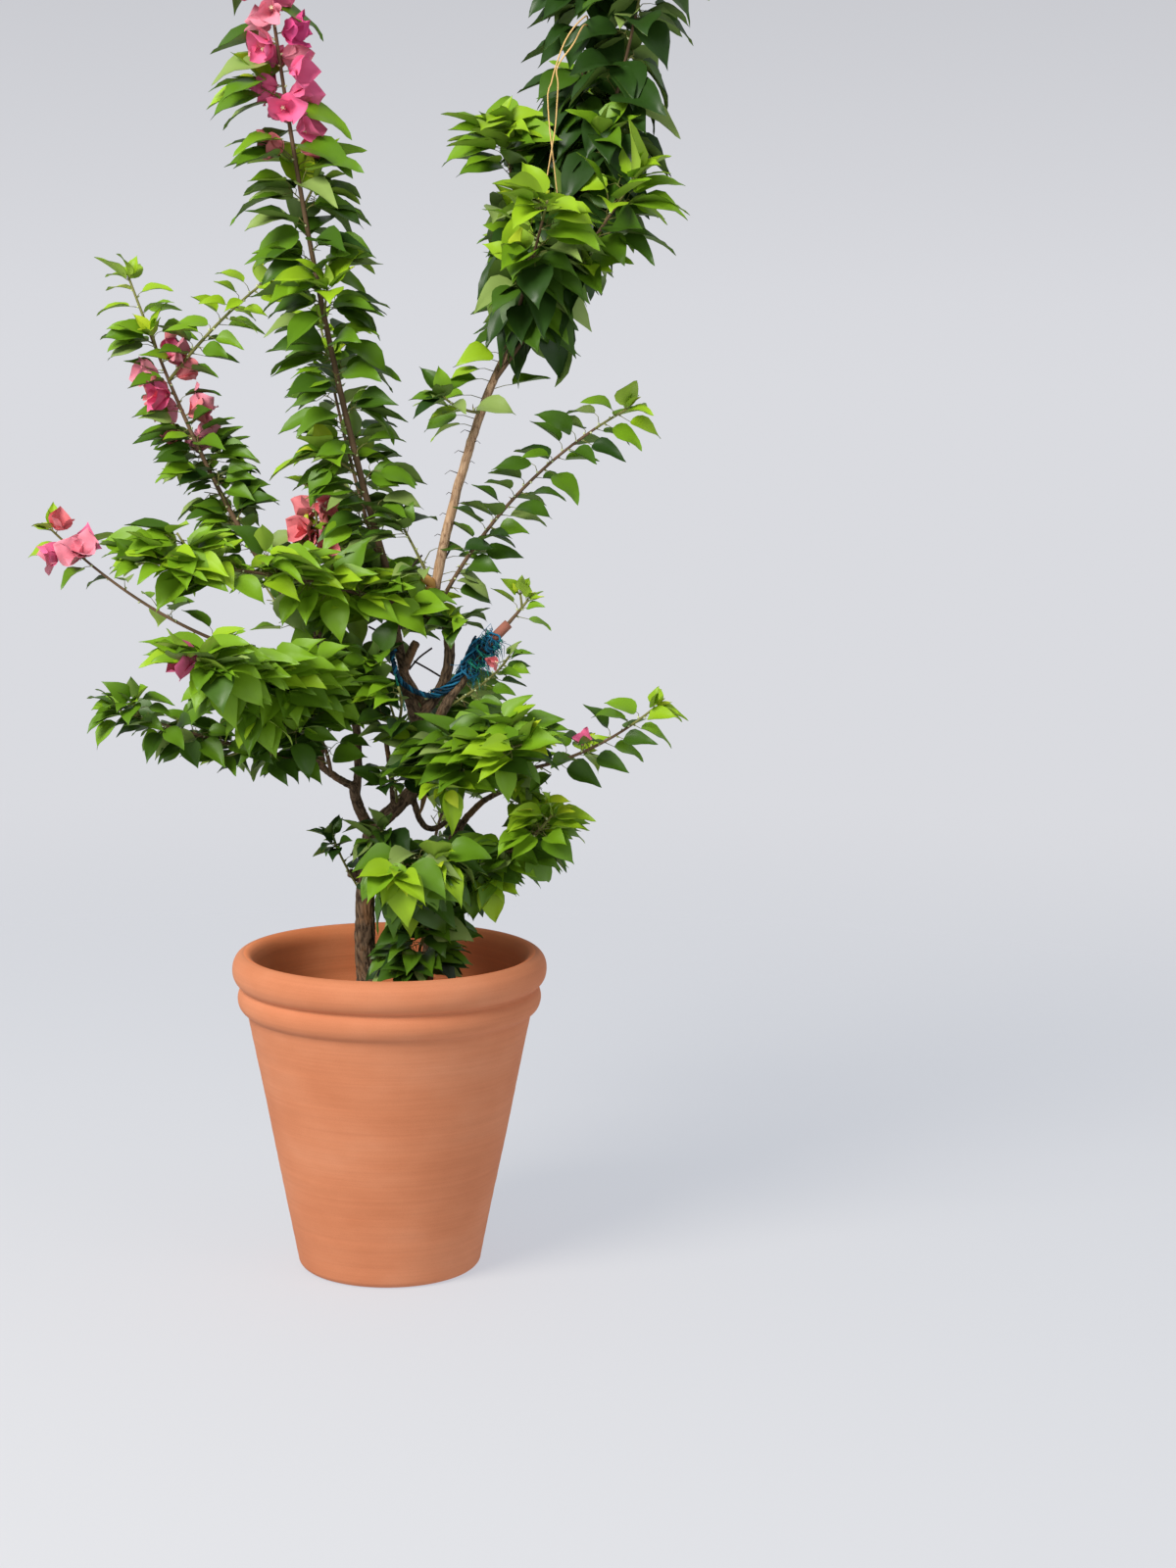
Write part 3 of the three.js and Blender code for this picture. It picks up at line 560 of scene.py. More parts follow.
# --- pot and soil -------------------------------------------------------------------------------------

def oval_arc(oval, from_degrees, to_degrees, steps):
    angles = np.radians(np.linspace(from_degrees, to_degrees, steps + 1))
    heights = POT_HEIGHT - oval.below + oval.tall * np.sin(angles)
    return list(zip(oval.middle + oval.thick * np.cos(angles), heights))


def wall_radius(height):
    return BASE_RADIUS + (WALL_TOP_RADIUS - BASE_RADIUS) * height / (POT_HEIGHT - WALL_TOP_BELOW_RIM)


def inner_radius(height):
    return wall_radius(height) - WALL_THICKNESS


def stretch(start, end, step):
    """Points from start up to, but not at, end."""
    start, end = vector(start), vector(end)
    count = max(1, round(np.linalg.norm(end - start) / step))
    return [tuple(start + (end - start) * i / count) for i in range(count)]


def capped_faces(rings, sides):
    """Faces of a body with a point, rings of points, and a last point."""
    last = 1 + rings * sides
    faces = [[i + 1 for i in face] for face in rings_to_faces(rings, sides, closed=False)]
    for k in range(sides):
        n = (k + 1) % sides
        faces.append([0, 1 + n, 1 + k])
        faces.append([last, last - sides + k, last - sides + n])
    return faces


def turned_solid(profile, sides, uneven):
    """A profile of (radius, height) turned round Z. It starts and ends on the axis, and uneven(angle, radius,
    height) is added to its radius."""
    angles = 2 * np.pi * np.arange(sides) / sides
    inner = profile[1:-1]
    points = [(0, 0, profile[0][1])]
    for radius, height in inner:
        for angle in angles:
            r = radius + uneven(angle, radius, height)
            points.append((r * math.cos(angle), r * math.sin(angle), height))
    points.append((0, 0, profile[-1][1]))
    return points, capped_faces(len(inner), sides)


def build_pot():
    """A hand-turned pot: its wall swells by a fraction of a millimetre from ring to ring."""
    corner = wall_radius(BASE_ROUNDING)
    bend = np.radians(np.linspace(90, 0, 7))
    footing = [(corner - BASE_ROUNDING * (1 - math.cos(a)), BASE_ROUNDING * (1 - math.sin(a))) for a in bend]
    band, rim = oval_arc(BAND, -84, 52, 16), oval_arc(RIM, -78, 180, 30)
    inside_top = (inner_radius(rim[-1][1] - 2 * RIM.tall), rim[-1][1] - 2 * RIM.tall)
    inside_foot = (inner_radius(FLOOR_THICKNESS), FLOOR_THICKNESS)
    profile = [
        (0, 0),
        *footing[:-1],
        *stretch(footing[-1], band[0], TURNING_STEP),
        *band,
        *rim,
        *stretch(rim[-1], inside_top, TURNING_STEP)[1:],
        *stretch(inside_top, inside_foot, TURNING_STEP),
        inside_foot,
        (0, FLOOR_THICKNESS),
    ]

    def uneven(angle, radius, height):
        if height < BASE_ROUNDING:
            return 0
        place = Vector((math.cos(angle) * 0.7, math.sin(angle) * 0.7, height / 9))
        wide = Vector((math.cos(angle) * 1.1, math.sin(angle) * 1.1, height / 130))
        return 0.28 * noise.noise(place) + 0.7 * noise.noise(wide)

    points, faces = turned_solid(profile, POT_SIDES, uneven)
    pot = mesh_object("terracotta_pot", points, faces, terracotta_material())
    # Points on the inside wall, which the material paints lighter and warmer: painted bounce light.
    inner = [float(h > FLOOR_THICKNESS and math.hypot(x, y) < inner_radius(h) + 4) for x, y, h in points]
    pot.data.attributes.new("inner", "FLOAT", "POINT").data.foreach_set("value", inner)
    finish_piece(pot, "terracotta", ["pot"])


def soil_height(x, y):
    lumps = noise.noise(Vector((x / 26, y / 26, 0.4)))
    crumbs = noise.noise(Vector((x / 7, y / 7, 3.1)))
    return SOIL_LEVEL - 3 + 4.5 * lumps + 2.2 * crumbs


def build_soil():
    """Lumpy soil that fills the pot, with loose crumbs on it."""
    floor = FLOOR_THICKNESS + GAP
    edge = inner_radius(SOIL_LEVEL - 6) - 2 * GAP
    rings = [(inner_radius(floor) - 2 * GAP, floor)]
    rings += [(edge * k / SOIL_RINGS, None) for k in range(SOIL_RINGS, 0, -1)]
    points = [(0, 0, floor)]
    for radius, height in rings:
        for k in range(SOIL_SIDES):
            angle = 2 * math.pi * k / SOIL_SIDES
            x, y = radius * math.cos(angle), radius * math.sin(angle)
            points.append((x, y, soil_height(x, y) if height is None else height))
    points.append((0, 0, soil_height(0, 0)))
    material = soil_material()
    soil = mesh_object("potting_soil", points, capped_faces(len(rings), SOIL_SIDES), material)
    finish_piece(soil, "soil", ["soil"])
    rng = np.random.default_rng(31)
    crumbs = Pile()
    for _ in range(CRUMBS):
        angle, reach = rng.uniform(0, 2 * math.pi), (edge - 6) * math.sqrt(rng.uniform())
        x, y = reach * math.cos(angle), reach * math.sin(angle)
        crumb_points, crumb_faces = crumb(rng, rng.uniform(1.2, 3.6))
        crumbs.add(crumb_points + (x, y, soil_height(x, y)), crumb_faces)
    loose = mesh_object("soil_crumbs", np.concatenate(crumbs.points), crumbs.faces, material)
    finish_piece(loose, "soil")


def crumb(rng, size):
    """A rough ball of five rings, flattened a little."""
    heights, sides = np.radians((-60, -25, 10, 45, 75)), 7
    points = []
    for lift in heights:
        for k in range(sides):
            angle = 2 * math.pi * k / sides
            r = size * rng.uniform(0.75, 1.2)
            points.append((r * math.cos(lift) * math.cos(angle), r * math.cos(lift) * math.sin(angle),
                           0.75 * r * math.sin(lift)))
    return np.array(points), rings_to_faces(len(heights), sides)


# --- bark ---------------------------------------------------------------------------------------------

FUSE_VOXEL = 1.15
SMOOTHING_TURNS = 5
TALL_STEM = "tall_right_bough"
LIMB_PIECE, LIMB_SIDES = 4, 20
RELIEF_DEPTH, TALL_RELIEF_DEPTH = 0.24, 0.1

# Short stubs of pruned boughs: limb, share of its length, direction, length and radii
STUBS = [
    ("trunk", 0.7, (-1, -0.15, 0.45), 24, (7.5, 5.5)),
    ("upper_left_bough", 0.2, (0.4, -0.35, 0.9), 42, (6.5, 5.5)),
    ("upper_right_bough", 0.1, (-0.5, 0.12, 0.85), 58, (4, 3.2)),
    ("trunk", 0.93, (0.1, 0.9, 0.5), 20, (6, 5)),
    ("right_limb", 0.55, (0.55, 0.1, 0.9), 16, (5, 4)),
    ("left_rising_bough", 0.9, (-0.75, -0.3, -0.6), 20, (3.5, 3)),
    ("left_lower_bough", 0.8, (-0.1, 0.12, 1), 150, (5.5, 5)),
    ("second_stem", 0.86, (0.5, -0.5, 0.7), 20, (5, 4)),
]


def fissure(place, stretch_along, coarse):
    """Ridged noise from 0 in a crack to 1 on a ridge."""
    p = Vector((place[0] / coarse, place[1] / coarse, place[2] / (coarse * stretch_along)))
    ridged = abs(noise.noise(p)) * 1.6 + 0.5 * abs(noise.noise(p * 2.3))
    return min(1.0, ridged * 1.5)


def fused(name, tubes):
    """One closed mesh in metres round all the tubes, with soft forks."""
    pile = Pile()
    for points, faces in tubes:
        pile.add(points, faces)
    rough = mesh_object(name + "_rough", np.concatenate(pile.points), pile.faces, None)
    remesh = rough.modifiers.new("fuse", "REMESH")
    remesh.mode = "VOXEL"
    remesh.voxel_size = FUSE_VOXEL * MM
    soften = rough.modifiers.new("soften", "SMOOTH")
    soften.factor = 0.5
    soften.iterations = SMOOTHING_TURNS
    evaluated = rough.evaluated_get(bpy.context.evaluated_depsgraph_get())
    mesh = bpy.data.meshes.new_from_object(evaluated)
    bpy.data.objects.remove(rough)
    mesh.name = name
    return mesh


def nearest_limb_tree(axes, names, step=2.0):
    """A search tree of points along the limbs, and for each point its limb, share and radius."""
    facts = [
        (name, share, axes[name].radius(share))
        for name in names
        for share in np.linspace(0, 1, max(2, round(axes[name].length / step)))
    ]
    tree = kdtree.KDTree(len(facts))
    for i, (name, share, _) in enumerate(facts):
        tree.insert(axes[name].point(share), i)
    tree.balance()
    return tree, facts


def carve_bark(mesh, axes, names, depth):
    """Moves each point by the bark's relief, which runs along its limb, and keeps the relief on the mesh."""
    tree, facts = nearest_limb_tree(axes, names)
    tangents = {name: [axes[name].tangent(s) for s in (0.1, 0.5, 0.9)] for name in names}
    relief = np.zeros(len(mesh.vertices), np.float32)
    for vertex, normal in zip(mesh.vertices, [v.normal.copy() for v in mesh.vertices]):
        place = np.array(vertex.co) / MM
        centre, index, _ = tree.find(place)
        name, share, radius = facts[index]
        tangent = tangents[name][min(2, int(share * 3))]
        offset = place - np.array(centre)
        across = offset - tangent * (offset @ tangent)
        along = share * axes[name].length
        local = (across[0] + 60 * len(name), across[1] + across[2], along)
        ridge = fissure(local, 5.0, 2.2 + 0.16 * radius)
        lumps = noise.noise(Vector(place / 19)) * 0.075 * radius
        relief[vertex.index] = ridge
        vertex.co += normal * ((ridge - 0.6) * depth * radius ** 0.7 + lumps) * MM
    attribute = mesh.attributes.new("relief", "FLOAT", "POINT")
    attribute.data.foreach_set("value", relief)


def limb_tube(axis, step, sides, rng):
    """A limb's tube, a little crooked between its ends."""
    line, radii = axis.points(step)
    wander = np.cumsum(rng.normal(0, 0.22, line.shape), axis=0)
    fade = np.sin(np.linspace(0, math.pi, len(line)))[:, None]
    return tube(line + (wander - wander.mean(0)) * fade, radii, sides)


def build_bark(axes):
    rng = np.random.default_rng(11)
    names = [row.name for row in LIMBS if row.name != TALL_STEM]
    tubes = [limb_tube(axes[name], LIMB_PIECE, LIMB_SIDES, rng) for name in names]
    for name, share, direction, length, radii in STUBS:
        stub = straight(axes[name].point(share), unit(vector(direction)), length, radii)
        tubes.append(tube(*stub.points(4), 16))
    mesh = fused("bark", tubes)
    carve_bark(mesh, axes, names, RELIEF_DEPTH)
    grey = bark_material("bark_grey", (0.022, 0.014, 0.009), (0.1, 0.064, 0.038), (0.22, 0.148, 0.092),
                         (0.27, 0.135, 0.06))
    place_bark("trunk_and_boughs", mesh, grey, names)
    mesh = fused("tall_bark", [limb_tube(axes[TALL_STEM], LIMB_PIECE, LIMB_SIDES, rng)])
    carve_bark(mesh, axes, [TALL_STEM], TALL_RELIEF_DEPTH)
    tan = bark_material("bark_tan", (0.19, 0.105, 0.055), (0.4, 0.25, 0.15), (0.56, 0.38, 0.24),
                        (0.5, 0.31, 0.17))
    place_bark("tall_right_stem", mesh, tan, [TALL_STEM])


def place_bark(name, mesh, material, nodes):
    mesh.materials.clear()
    mesh.materials.append(material)
    mesh.shade_smooth()
    finish_piece(new_object(name, mesh), "bark", nodes)


# --- blades -------------------------------------------------------------------------------------------

BLADE_ROWS = (0.045, 0.13, 0.26, 0.42, 0.59, 0.76, 0.9)
BLADE_COLUMNS = (-1, -0.5, 0, 0.5, 1)
BLADE_THICKNESS = 0.35
LEAF_STYLE = SimpleNamespace(widest=0.3, taper=1.45, ratio=0.63, keel=(0.1, 0.4), arch=0.12,
                             lift=(0.0, 0.4), droop=(0.15, 0.95), wave=0.09)
BRACT_STYLE = SimpleNamespace(widest=0.4, taper=1.05, ratio=0.92, keel=(0.1, 0.5), arch=0.05,
                              lift=(-0.35, 0.0), droop=(-0.5, 0.5), wave=0.2)
VARIANTS = 16


def blade_faces():
    """Triangles between the foot, the rows of points and the tip."""
    rows, columns = len(BLADE_ROWS), len(BLADE_COLUMNS)
    tip = 1 + rows * columns
    faces = []
    for c in range(columns - 1):
        last = 1 + (rows - 1) * columns + c
        faces += [(0, 1 + c, 2 + c), (last, tip, last + 1)]
        for r in range(rows - 1):
            a = 1 + r * columns + c
            b = a + columns
            faces += [(a, b, b + 1), (a, b + 1, a + 1)]
    return np.array(faces)


def half_width(share, style):
    """An ovate outline of greatest half width 1, rounded at its foot, with a drawn-out tip."""
    swell = style.taper * style.widest / (1 - style.widest)
    low, high = share / style.widest, (1 - share) / (1 - style.widest)
    return low ** swell * high ** style.taper


def blade_points(rng, style):
    """One blade of length 1 along x, its face towards z: folded at its midrib, bent along it, and wavy."""
    shares = np.linspace(0, 1, 41)
    angle = rng.uniform(*style.lift) - rng.uniform(*style.droop) * shares ** 1.4
    steps = np.diff(shares)
    x = np.concatenate([[0], np.cumsum(np.cos(angle[1:]) * steps)])
    z = np.concatenate([[0], np.cumsum(np.sin(angle[1:]) * steps)])
    keel, phase, twist = rng.uniform(*style.keel), rng.uniform(0, 6.28), rng.uniform(-0.25, 0.25)
    sweep = rng.uniform(-0.12, 0.12)
    half = style.ratio / 2 * rng.uniform(0.88, 1.1)
    points = [(0, 0, 0)]
    for share in BLADE_ROWS:
        centre = np.array([np.interp(share, shares, x), sweep * share ** 2, np.interp(share, shares, z)])
        bend = np.interp(share, shares, angle)
        normal = np.array([-math.sin(bend), 0, math.cos(bend)])
        width = half * half_width(share, style)
        for v in BLADE_COLUMNS:
            ripple = style.wave * math.sin(9 * share + phase + 2 * v) * abs(v)
            height = width * (keel * abs(v) * 2 - style.arch * v * v + v * twist * share) + ripple * half
            points.append(tuple(centre + normal * height + np.array([0, v * width, 0])))
    points.append((x[-1], sweep, z[-1]))
    return np.array(points)


class Blades:
    """Leaves or bracts of one kind, kept as places until their mesh is made."""

    def __init__(self, templates):
        self.templates, self.rows = templates, []

    def add(self, root, direction, facing, length, broad, variant):
        self.rows.append((root, direction, facing, length, broad, variant))

    def pieces(self, name, material, flipped=False):
        """Joined meshes of at most PIECE_TRIANGLES. Flipped blades are the undersides of leaves."""
        faces = blade_faces()
        if flipped:
            faces = faces[:, ::-1]
        parts = max(1, math.ceil(len(self.rows) * len(faces) / PIECE_TRIANGLES))
        for part, numbers in enumerate(np.array_split(np.arange(len(self.rows)), parts)):
            points = self.points([self.rows[i] for i in numbers], flipped)
            offsets = np.arange(len(numbers))[:, None, None] * points.shape[1]
            joined = (faces[None] + offsets).reshape(-1, 3)
            thing = mesh_object(f"{name}_{part + 1}", points.reshape(-1, 3), joined.tolist(), material)
            finish_piece(thing, "foliage")

    def points(self, rows, flipped):
        roots, directions, facings, lengths, broad, variants = (np.array(column) for column in zip(*rows))
        sides = np.cross(facings, directions)
        sides /= np.linalg.norm(sides, axis=1)[:, None]
        normals = np.cross(directions, sides)
        frames = np.stack([directions, sides * broad[:, None], normals], axis=1) * lengths[:, None, None]
        points = np.einsum("nvk,nkj->nvj", self.templates[variants.astype(int)], frames)
        points += roots[:, None, :]
        if flipped:
            points -= normals[:, None, :] * BLADE_THICKNESS
        return points


# --- foliage ------------------------------------------------------------------------------------------

LEAF_KINDS = ("leaf_lime", "leaf_bright", "leaf_fresh", "leaf_mid", "leaf_deep", "leaf_dark")
KIND_AGES = (0.09, 0.27, 0.46, 0.64, 0.82)
BRACT_KINDS = ("bract_pink", "bract_rose", "bract_coral", "bract_pale")
STEM_KINDS = ("young_stems", "woody_stems", "dark_twigs", "thorns", "buds", "flowers", "straws", "knob",
              "knob_face", "flayed_bark")
BOX_SLACK = 6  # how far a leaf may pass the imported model's box
PETIOLE_LENGTH = 12
LONE_STALK = 36  # of a bract that grows alone, for its size
YOUNG_SIZE = 0.7  # of a leaf that has just opened, to its full size
SAMPLES_ALONG = (0.3, 0.62, 0.95)
WOODY_SHARE = 0.85  # of a shoot's length, from its foot

# Windows in the crown, seen from the front: X and Z where the line of sight meets the plane of the trunk,
# and radius
WINDOWS = [
    (52, 775, 25), (58, 785, 12), (39, 735, 8), (-195, 851, 14), (-164, 839, 15), (-226, 848, 10),
    (62, 1240, 26), (66, 1312, 20), (84, 1196, 12), (84, 1354, 17), (88, 1328, 14), (86, 1284, 15),
    (92, 1251, 14), (300, 1241, 18), (287, 1205, 18), (258, 1156, 17), (-75, 1522, 14), (-339, 858, 16),
    (-315, 839, 12), (-244, 626, 15), (-214, 619, 15), (-183, 612, 15), (-152, 608, 15), (-273, 639, 13),
    (-77, 509, 12), (-57, 494, 8), (-301, 965, 14), (-271, 975, 14), (224, 620, 15), (-274, 752, 17),
    (31, 575, 21), (14, 574, 12), (127, 588, 14), (102, 580, 12), (-25, 813, 9), (-133, 803, 12),
    (21, 924, 12), (42, 939, 14), (-175, 908, 12), (-129, 953, 16), (61, 902, 10), (-27, 607, 10),
]

# Where nothing hangs in front of the limbs and the twine, in the same terms
CLEARINGS = [
    (9, 786, 11), (11, 763, 13), (31, 746, 14), (52, 739, 14), (70, 744, 14), (86, 761, 16), (99, 786, 17),
    (108, 811, 16), (133, 823, 14), (37, 722, 13), (17, 810, 12), (30, 775, 14), (67, 764, 14),
    (92, 740, 12), (60, 880, 13),
]
CLEARING_FRONT = -12  # what lies further back than this Y may stay
STRAW_CLEARANCE = 4


class Plant:
    """Everything that grows on the limbs, gathered by kind."""

    def __init__(self, axes):
        rng = np.random.default_rng(5)
        self.axes = axes
        leaf_templates = np.array([blade_points(rng, LEAF_STYLE) for _ in range(VARIANTS)])
        bract_templates = np.array([blade_points(rng, BRACT_STYLE) for _ in range(VARIANTS)])
        self.leaves = {kind: Blades(leaf_templates) for kind in (*LEAF_KINDS, "leaf_pale", "dry_leaf")}
        self.bracts = {kind: Blades(bract_templates) for kind in BRACT_KINDS}
        self.stems = {kind: Pile() for kind in STEM_KINDS}
        self.low = np.array(CAD_BOX[0]) / MM - BOX_SLACK
        self.high = np.array(CAD_BOX[1]) / MM + BOX_SLACK
        self.limb_tree, self.limb_facts = nearest_limb_tree(axes, [row.name for row in LIMBS], 6.0)
        straws = seen_from_front(np.concatenate([smooth_line(line, 8)[3:] for line in STRAWS]))
        spots = [(x, z, radius, self.high[1]) for x, z, radius in WINDOWS]
        spots += [(x, z, radius, CLEARING_FRONT) for x, z, radius in CLEARINGS]
        spots += [(x, z, STRAW_CLEARANCE, STRAW_FRONT) for x, z in straws]
        self.spots = np.array(spots)

    def is_clear(self, point, margin):
        """Whether a point lies in the box and out of the limbs."""
        if (point < self.low).any() or (point > self.high).any():
            return False
        _, index, distance = self.limb_tree.find(point)
        return distance > self.limb_facts[index][2] + margin

    def in_window(self, points, margin):
        """Whether one of the points closes a window or hides what a clearing shows."""
        gaps = np.linalg.norm(self.spots[None, :, :2] - seen_from_front(points)[:, None], axis=2)
        before = points[:, None, 1] < self.spots[None, :, 3]
        return (before & (gaps < self.spots[None, :, 2] + margin)).any()

    def add_stem(self, kind, line, radii, sides):
        self.stems[kind].add(*tube(line, radii, sides))

    def add_leaf(self, rng, row, root, out, blade, length, age, stem_radius=0.8, stalk=PETIOLE_LENGTH,
                 veil=None):
        """A stalk that leaves its stem one way, and a blade on it that points another. veil is the line of a
        stem that the leaf may not hide."""
        length = length * min(1.0, YOUNG_SIZE + max(0.0, age))
        stalk_length = stalk * rng.uniform(0.75, 1.35)
        foot = root + out * (stem_radius * 0.5)
        knee = root + out * (stem_radius + stalk_length * 0.6)
        neck = knee + unit(out + blade) * stalk_length * 0.4
        facing = UP + sunlit(rng, blade) + out * (0.7 * row.hang) + rng.normal(0, 0.2, 3)
        if abs(unit(facing) @ blade) > 0.93:
            facing = facing + out * 1.5
        variant, broad, is_bare = rng.integers(VARIANTS), rng.uniform(0.88, 1.12), rng.uniform() < row.bared
        kind = self.leaf_kind(rng, age, row.pale)
        samples = np.array([neck + blade * length * s for s in SAMPLES_ALONG])
        if not all(self.is_clear(sample, 1.5) for sample in samples[1:]):
            return
        if self.in_window(samples, length * 0.16):
            return
        if veil is not None and is_bare and hides(samples[:2], veil, length * 0.2):
            return
        self.leaves[kind].add(neck, blade, facing, length, broad, variant)
        self.add_stem("young_stems", [foot, knee, neck], (0.65, 0.5, 0.4), 3)

    @staticmethod
    def leaf_kind(rng, age, pale):
        """Young leaves are lime, old ones dark, and a share of the grown ones is dull and pale. As the age
        carries the shoot's tone, the darker kinds are partly painted shade.
        """
        age = age + rng.normal(0, 0.09) * min(1, 0.3 + age)
        if age > 0.4 and rng.uniform() < pale:
            return "leaf_pale"
        return LEAF_KINDS[sum(age > step for step in KIND_AGES)]


def seen_from_front(points):
    """X and Z where the lines of sight through the points meet the plane of the trunk."""
    offsets = points - vector(EYE)
    return vector((EYE[0], EYE[2])) + offsets[:, (0, 2)] * (-EYE[1] / offsets[:, 1])[:, None]


def hides(points, line, margin):
    """Whether one of the points lies in front of a line."""
    ours, theirs = seen_from_front(points), seen_from_front(line)
    gaps = np.linalg.norm(ours[:, None] - theirs[None], axis=2)
    nearest = gaps.argmin(1)
    before = points[:, 1] < line[nearest, 1]
    return (before & (gaps.min(1) < margin)).any()


def sunlit(rng, blade):
    """How far a leaf turns its face to the light: more on the sunny side of the plant."""
    return SUNNY_SIDE * (rng.uniform(0.1, 1.15) if blade[1] < 0.45 else rng.uniform(-0.4, 0.3))


def skirt_at(row, share):
    """How far the leaves of this place on a shoot belong to its hanging foot."""
    return row.skirt * min(1.0, max(0.0, 1.25 - 1.6 * share))


def blade_direction(rng, row, out, along, skirt):
    """Where a blade points: out from its stem but nearly level, a little along it, and down."""
    drop = max(0.0, skirt)
    aside = math.copysign((1 - row.depth) * abs(out[1]), out[0])
    level = vector((out[0] + aside, row.depth * out[1], 0.3 * out[2]))
    level = level * (1 - 0.5 * min(1, drop)) + along * 0.28 * (1 - drop)
    sag = 1.75 * row.hang ** 1.5 + 2 * drop
    return unit(level - UP * sag * rng.uniform(0.45, 1.45) + rng.normal(0, 0.17, 3) * (1, 1, 0.6))


def age_at(row, distance_to_tip, rng):
    """From 0 for the leaf that has just opened to 1 for the oldest. The shoot's tone is added to it, so it
    also carries painted shade and painted light.
    """
    if distance_to_tip < row.young:
        return 0.08 + 0.5 * distance_to_tip / row.young + row.tone * 0.5
    return 0.62 + row.tone + 0.12 * rng.uniform(-1, 1)


def grow_spur(plant, rng, row, axis, share, angle, to_tip, skirt, veil):
    """A short side twig with a crowd of leaves round it."""
    outward, tangent = axis.outward(share, angle), axis.tangent(share)
    direction = unit(vector((outward[0], 0.8 * outward[1], 0.4 * outward[2])) + tangent * 0.55
                     + UP * 0.12 + rng.normal(0, 0.15, 3))
    root = axis.point(share)
    end = root + direction * (axis.radius(share) + rng.uniform(8, 26))
    if not plant.is_clear(end, 3) or plant.in_window(np.array([end]), 2):
        return
    plant.add_stem("young_stems", [root, (root + end) / 2, end], (SPUR_RADII[0], 0.75, SPUR_RADII[1]), 4)
    spur = Axis(root, (root + end) / 2, end, SPUR_RADII)
    count = max(1, round(row.crowd * rng.uniform(0.7, 1.25) * (1 - 0.3 * max(0, min(1, skirt)))))
    turn = rng.uniform(0, 2 * math.pi)
    for i in range(count):
        place = 0.3 + 0.7 * (i + 1) / count
        own = spur.outward(place, turn + i * GOLDEN_ANGLE)
        blade = blade_direction(rng, row, unit(own + outward * 0.9), spur.tangent(place), skirt)
        size = row.leaf * (1 + 0.35 * skirt) * (1.05 - 0.32 * i / count) * rng.uniform(0.82, 1.12)
        age = age_at(row, to_tip, rng) - 0.16 * i / count + 0.35 * max(0, skirt)
        out = unit(own + spur.tangent(place) * 0.6)
        plant.add_leaf(rng, row, spur.point(place), out, blade, size, age, veil=veil)


def grow_whorl(plant, rng, row, axis):
    """The youngest leaves, packed round the tip."""
    for i in range(TOP_WHORL):
        share = 1 - 0.7 * i / max(60, axis.length)
        out = axis.outward(1, i * GOLDEN_ANGLE)
        blade = unit(out * (0.5 + 0.14 * i) + axis.tangent(1) - UP * row.hang * 0.5 + rng.normal(0, 0.1, 3))
        # the shoot's tone makes the whorl darker too, partly as painted shade
        age = 0.01 + 0.035 * i + max(0.0, row.tone) * 0.8 + (0.4 if row.young < 30 else 0)
        plant.add_leaf(rng, row, axis.point(share), unit(out + axis.tangent(1)), blade,
                       row.leaf * (0.5 + 0.09 * i), age, axis.radius(1), 5)


def grow_leaves(plant, rng, row, axis, bare, at, veil):
    """Nodes up the axis, each with a leaf, and a spur where the shoot is leafy. at is the share of the shoot
    where a twig leaves it, which makes the twig's leaves older, or None on the shoot itself."""
    beyond = 0 if at is None else (1 - at) * plant.axes[row.name].length
    along, angle = bare, rng.uniform(0, 2 * math.pi)
    while along < axis.length - 8:
        share = along / axis.length
        to_tip = axis.length - along + beyond
        skirt = skirt_at(row, share if at is None else at)
        blooming = at is None and row.bloom[0] <= share <= row.bloom[1]
        out = axis.outward(share, angle)
        blade = blade_direction(rng, row, out, axis.tangent(share), skirt)
        size = row.leaf * (1 + 0.35 * skirt) * rng.uniform(0.85, 1.15)
        age = age_at(row, to_tip, rng) + 0.35 * max(0, skirt)
        if not blooming or rng.uniform() < 0.75:
            plant.add_leaf(rng, row, axis.point(share), unit(out + axis.tangent(share) * 0.5), blade, size,
                           age, axis.radius(share), veil=veil)
        if row.spurs[0] <= share <= row.spurs[1] and not blooming:
            grow_spur(plant, rng, row, axis, share, angle + 0.5, to_tip, skirt, veil)
        if at is None and share < 0.5 and rng.uniform() < 0.4:
            grow_thorn(plant, rng, axis, share, angle + 0.9)
        if at is None:
            grow_bud(plant, rng, axis, share, angle + 0.5)
        along += row.internode * rng.uniform(0.75, 1.25)
        angle += GOLDEN_ANGLE
    grow_whorl(plant, rng, row, axis)


def grow_bud(plant, rng, axis, share, angle):
    """A cream bud in the corner between a leaf's stalk and its stem."""
    out = unit(axis.outward(share, angle) + axis.tangent(share) * 0.4)
    foot = axis.point(share) + out * (axis.radius(share) * 0.7)
    line = [foot, foot + out * 1.2, foot + out * 2.8, foot + out * rng.uniform(3.4, 4.4)]
    plant.add_stem("buds", line, (0.8, 1.5, 1.3, 0.3), 5)


def grow_thorn(plant, rng, axis, share, angle):
    out, tangent = axis.outward(share, angle), axis.tangent(share)
    root, length = axis.point(share), rng.uniform(7, 13)
    middle = root + (out + tangent * 0.25) * length * 0.55
    end = root + (out + tangent * 0.1 - UP * 0.2) * (length + axis.radius(share))
    plant.add_stem("thorns", [root, middle, end], (1.1, 0.7, 0.12), 4)


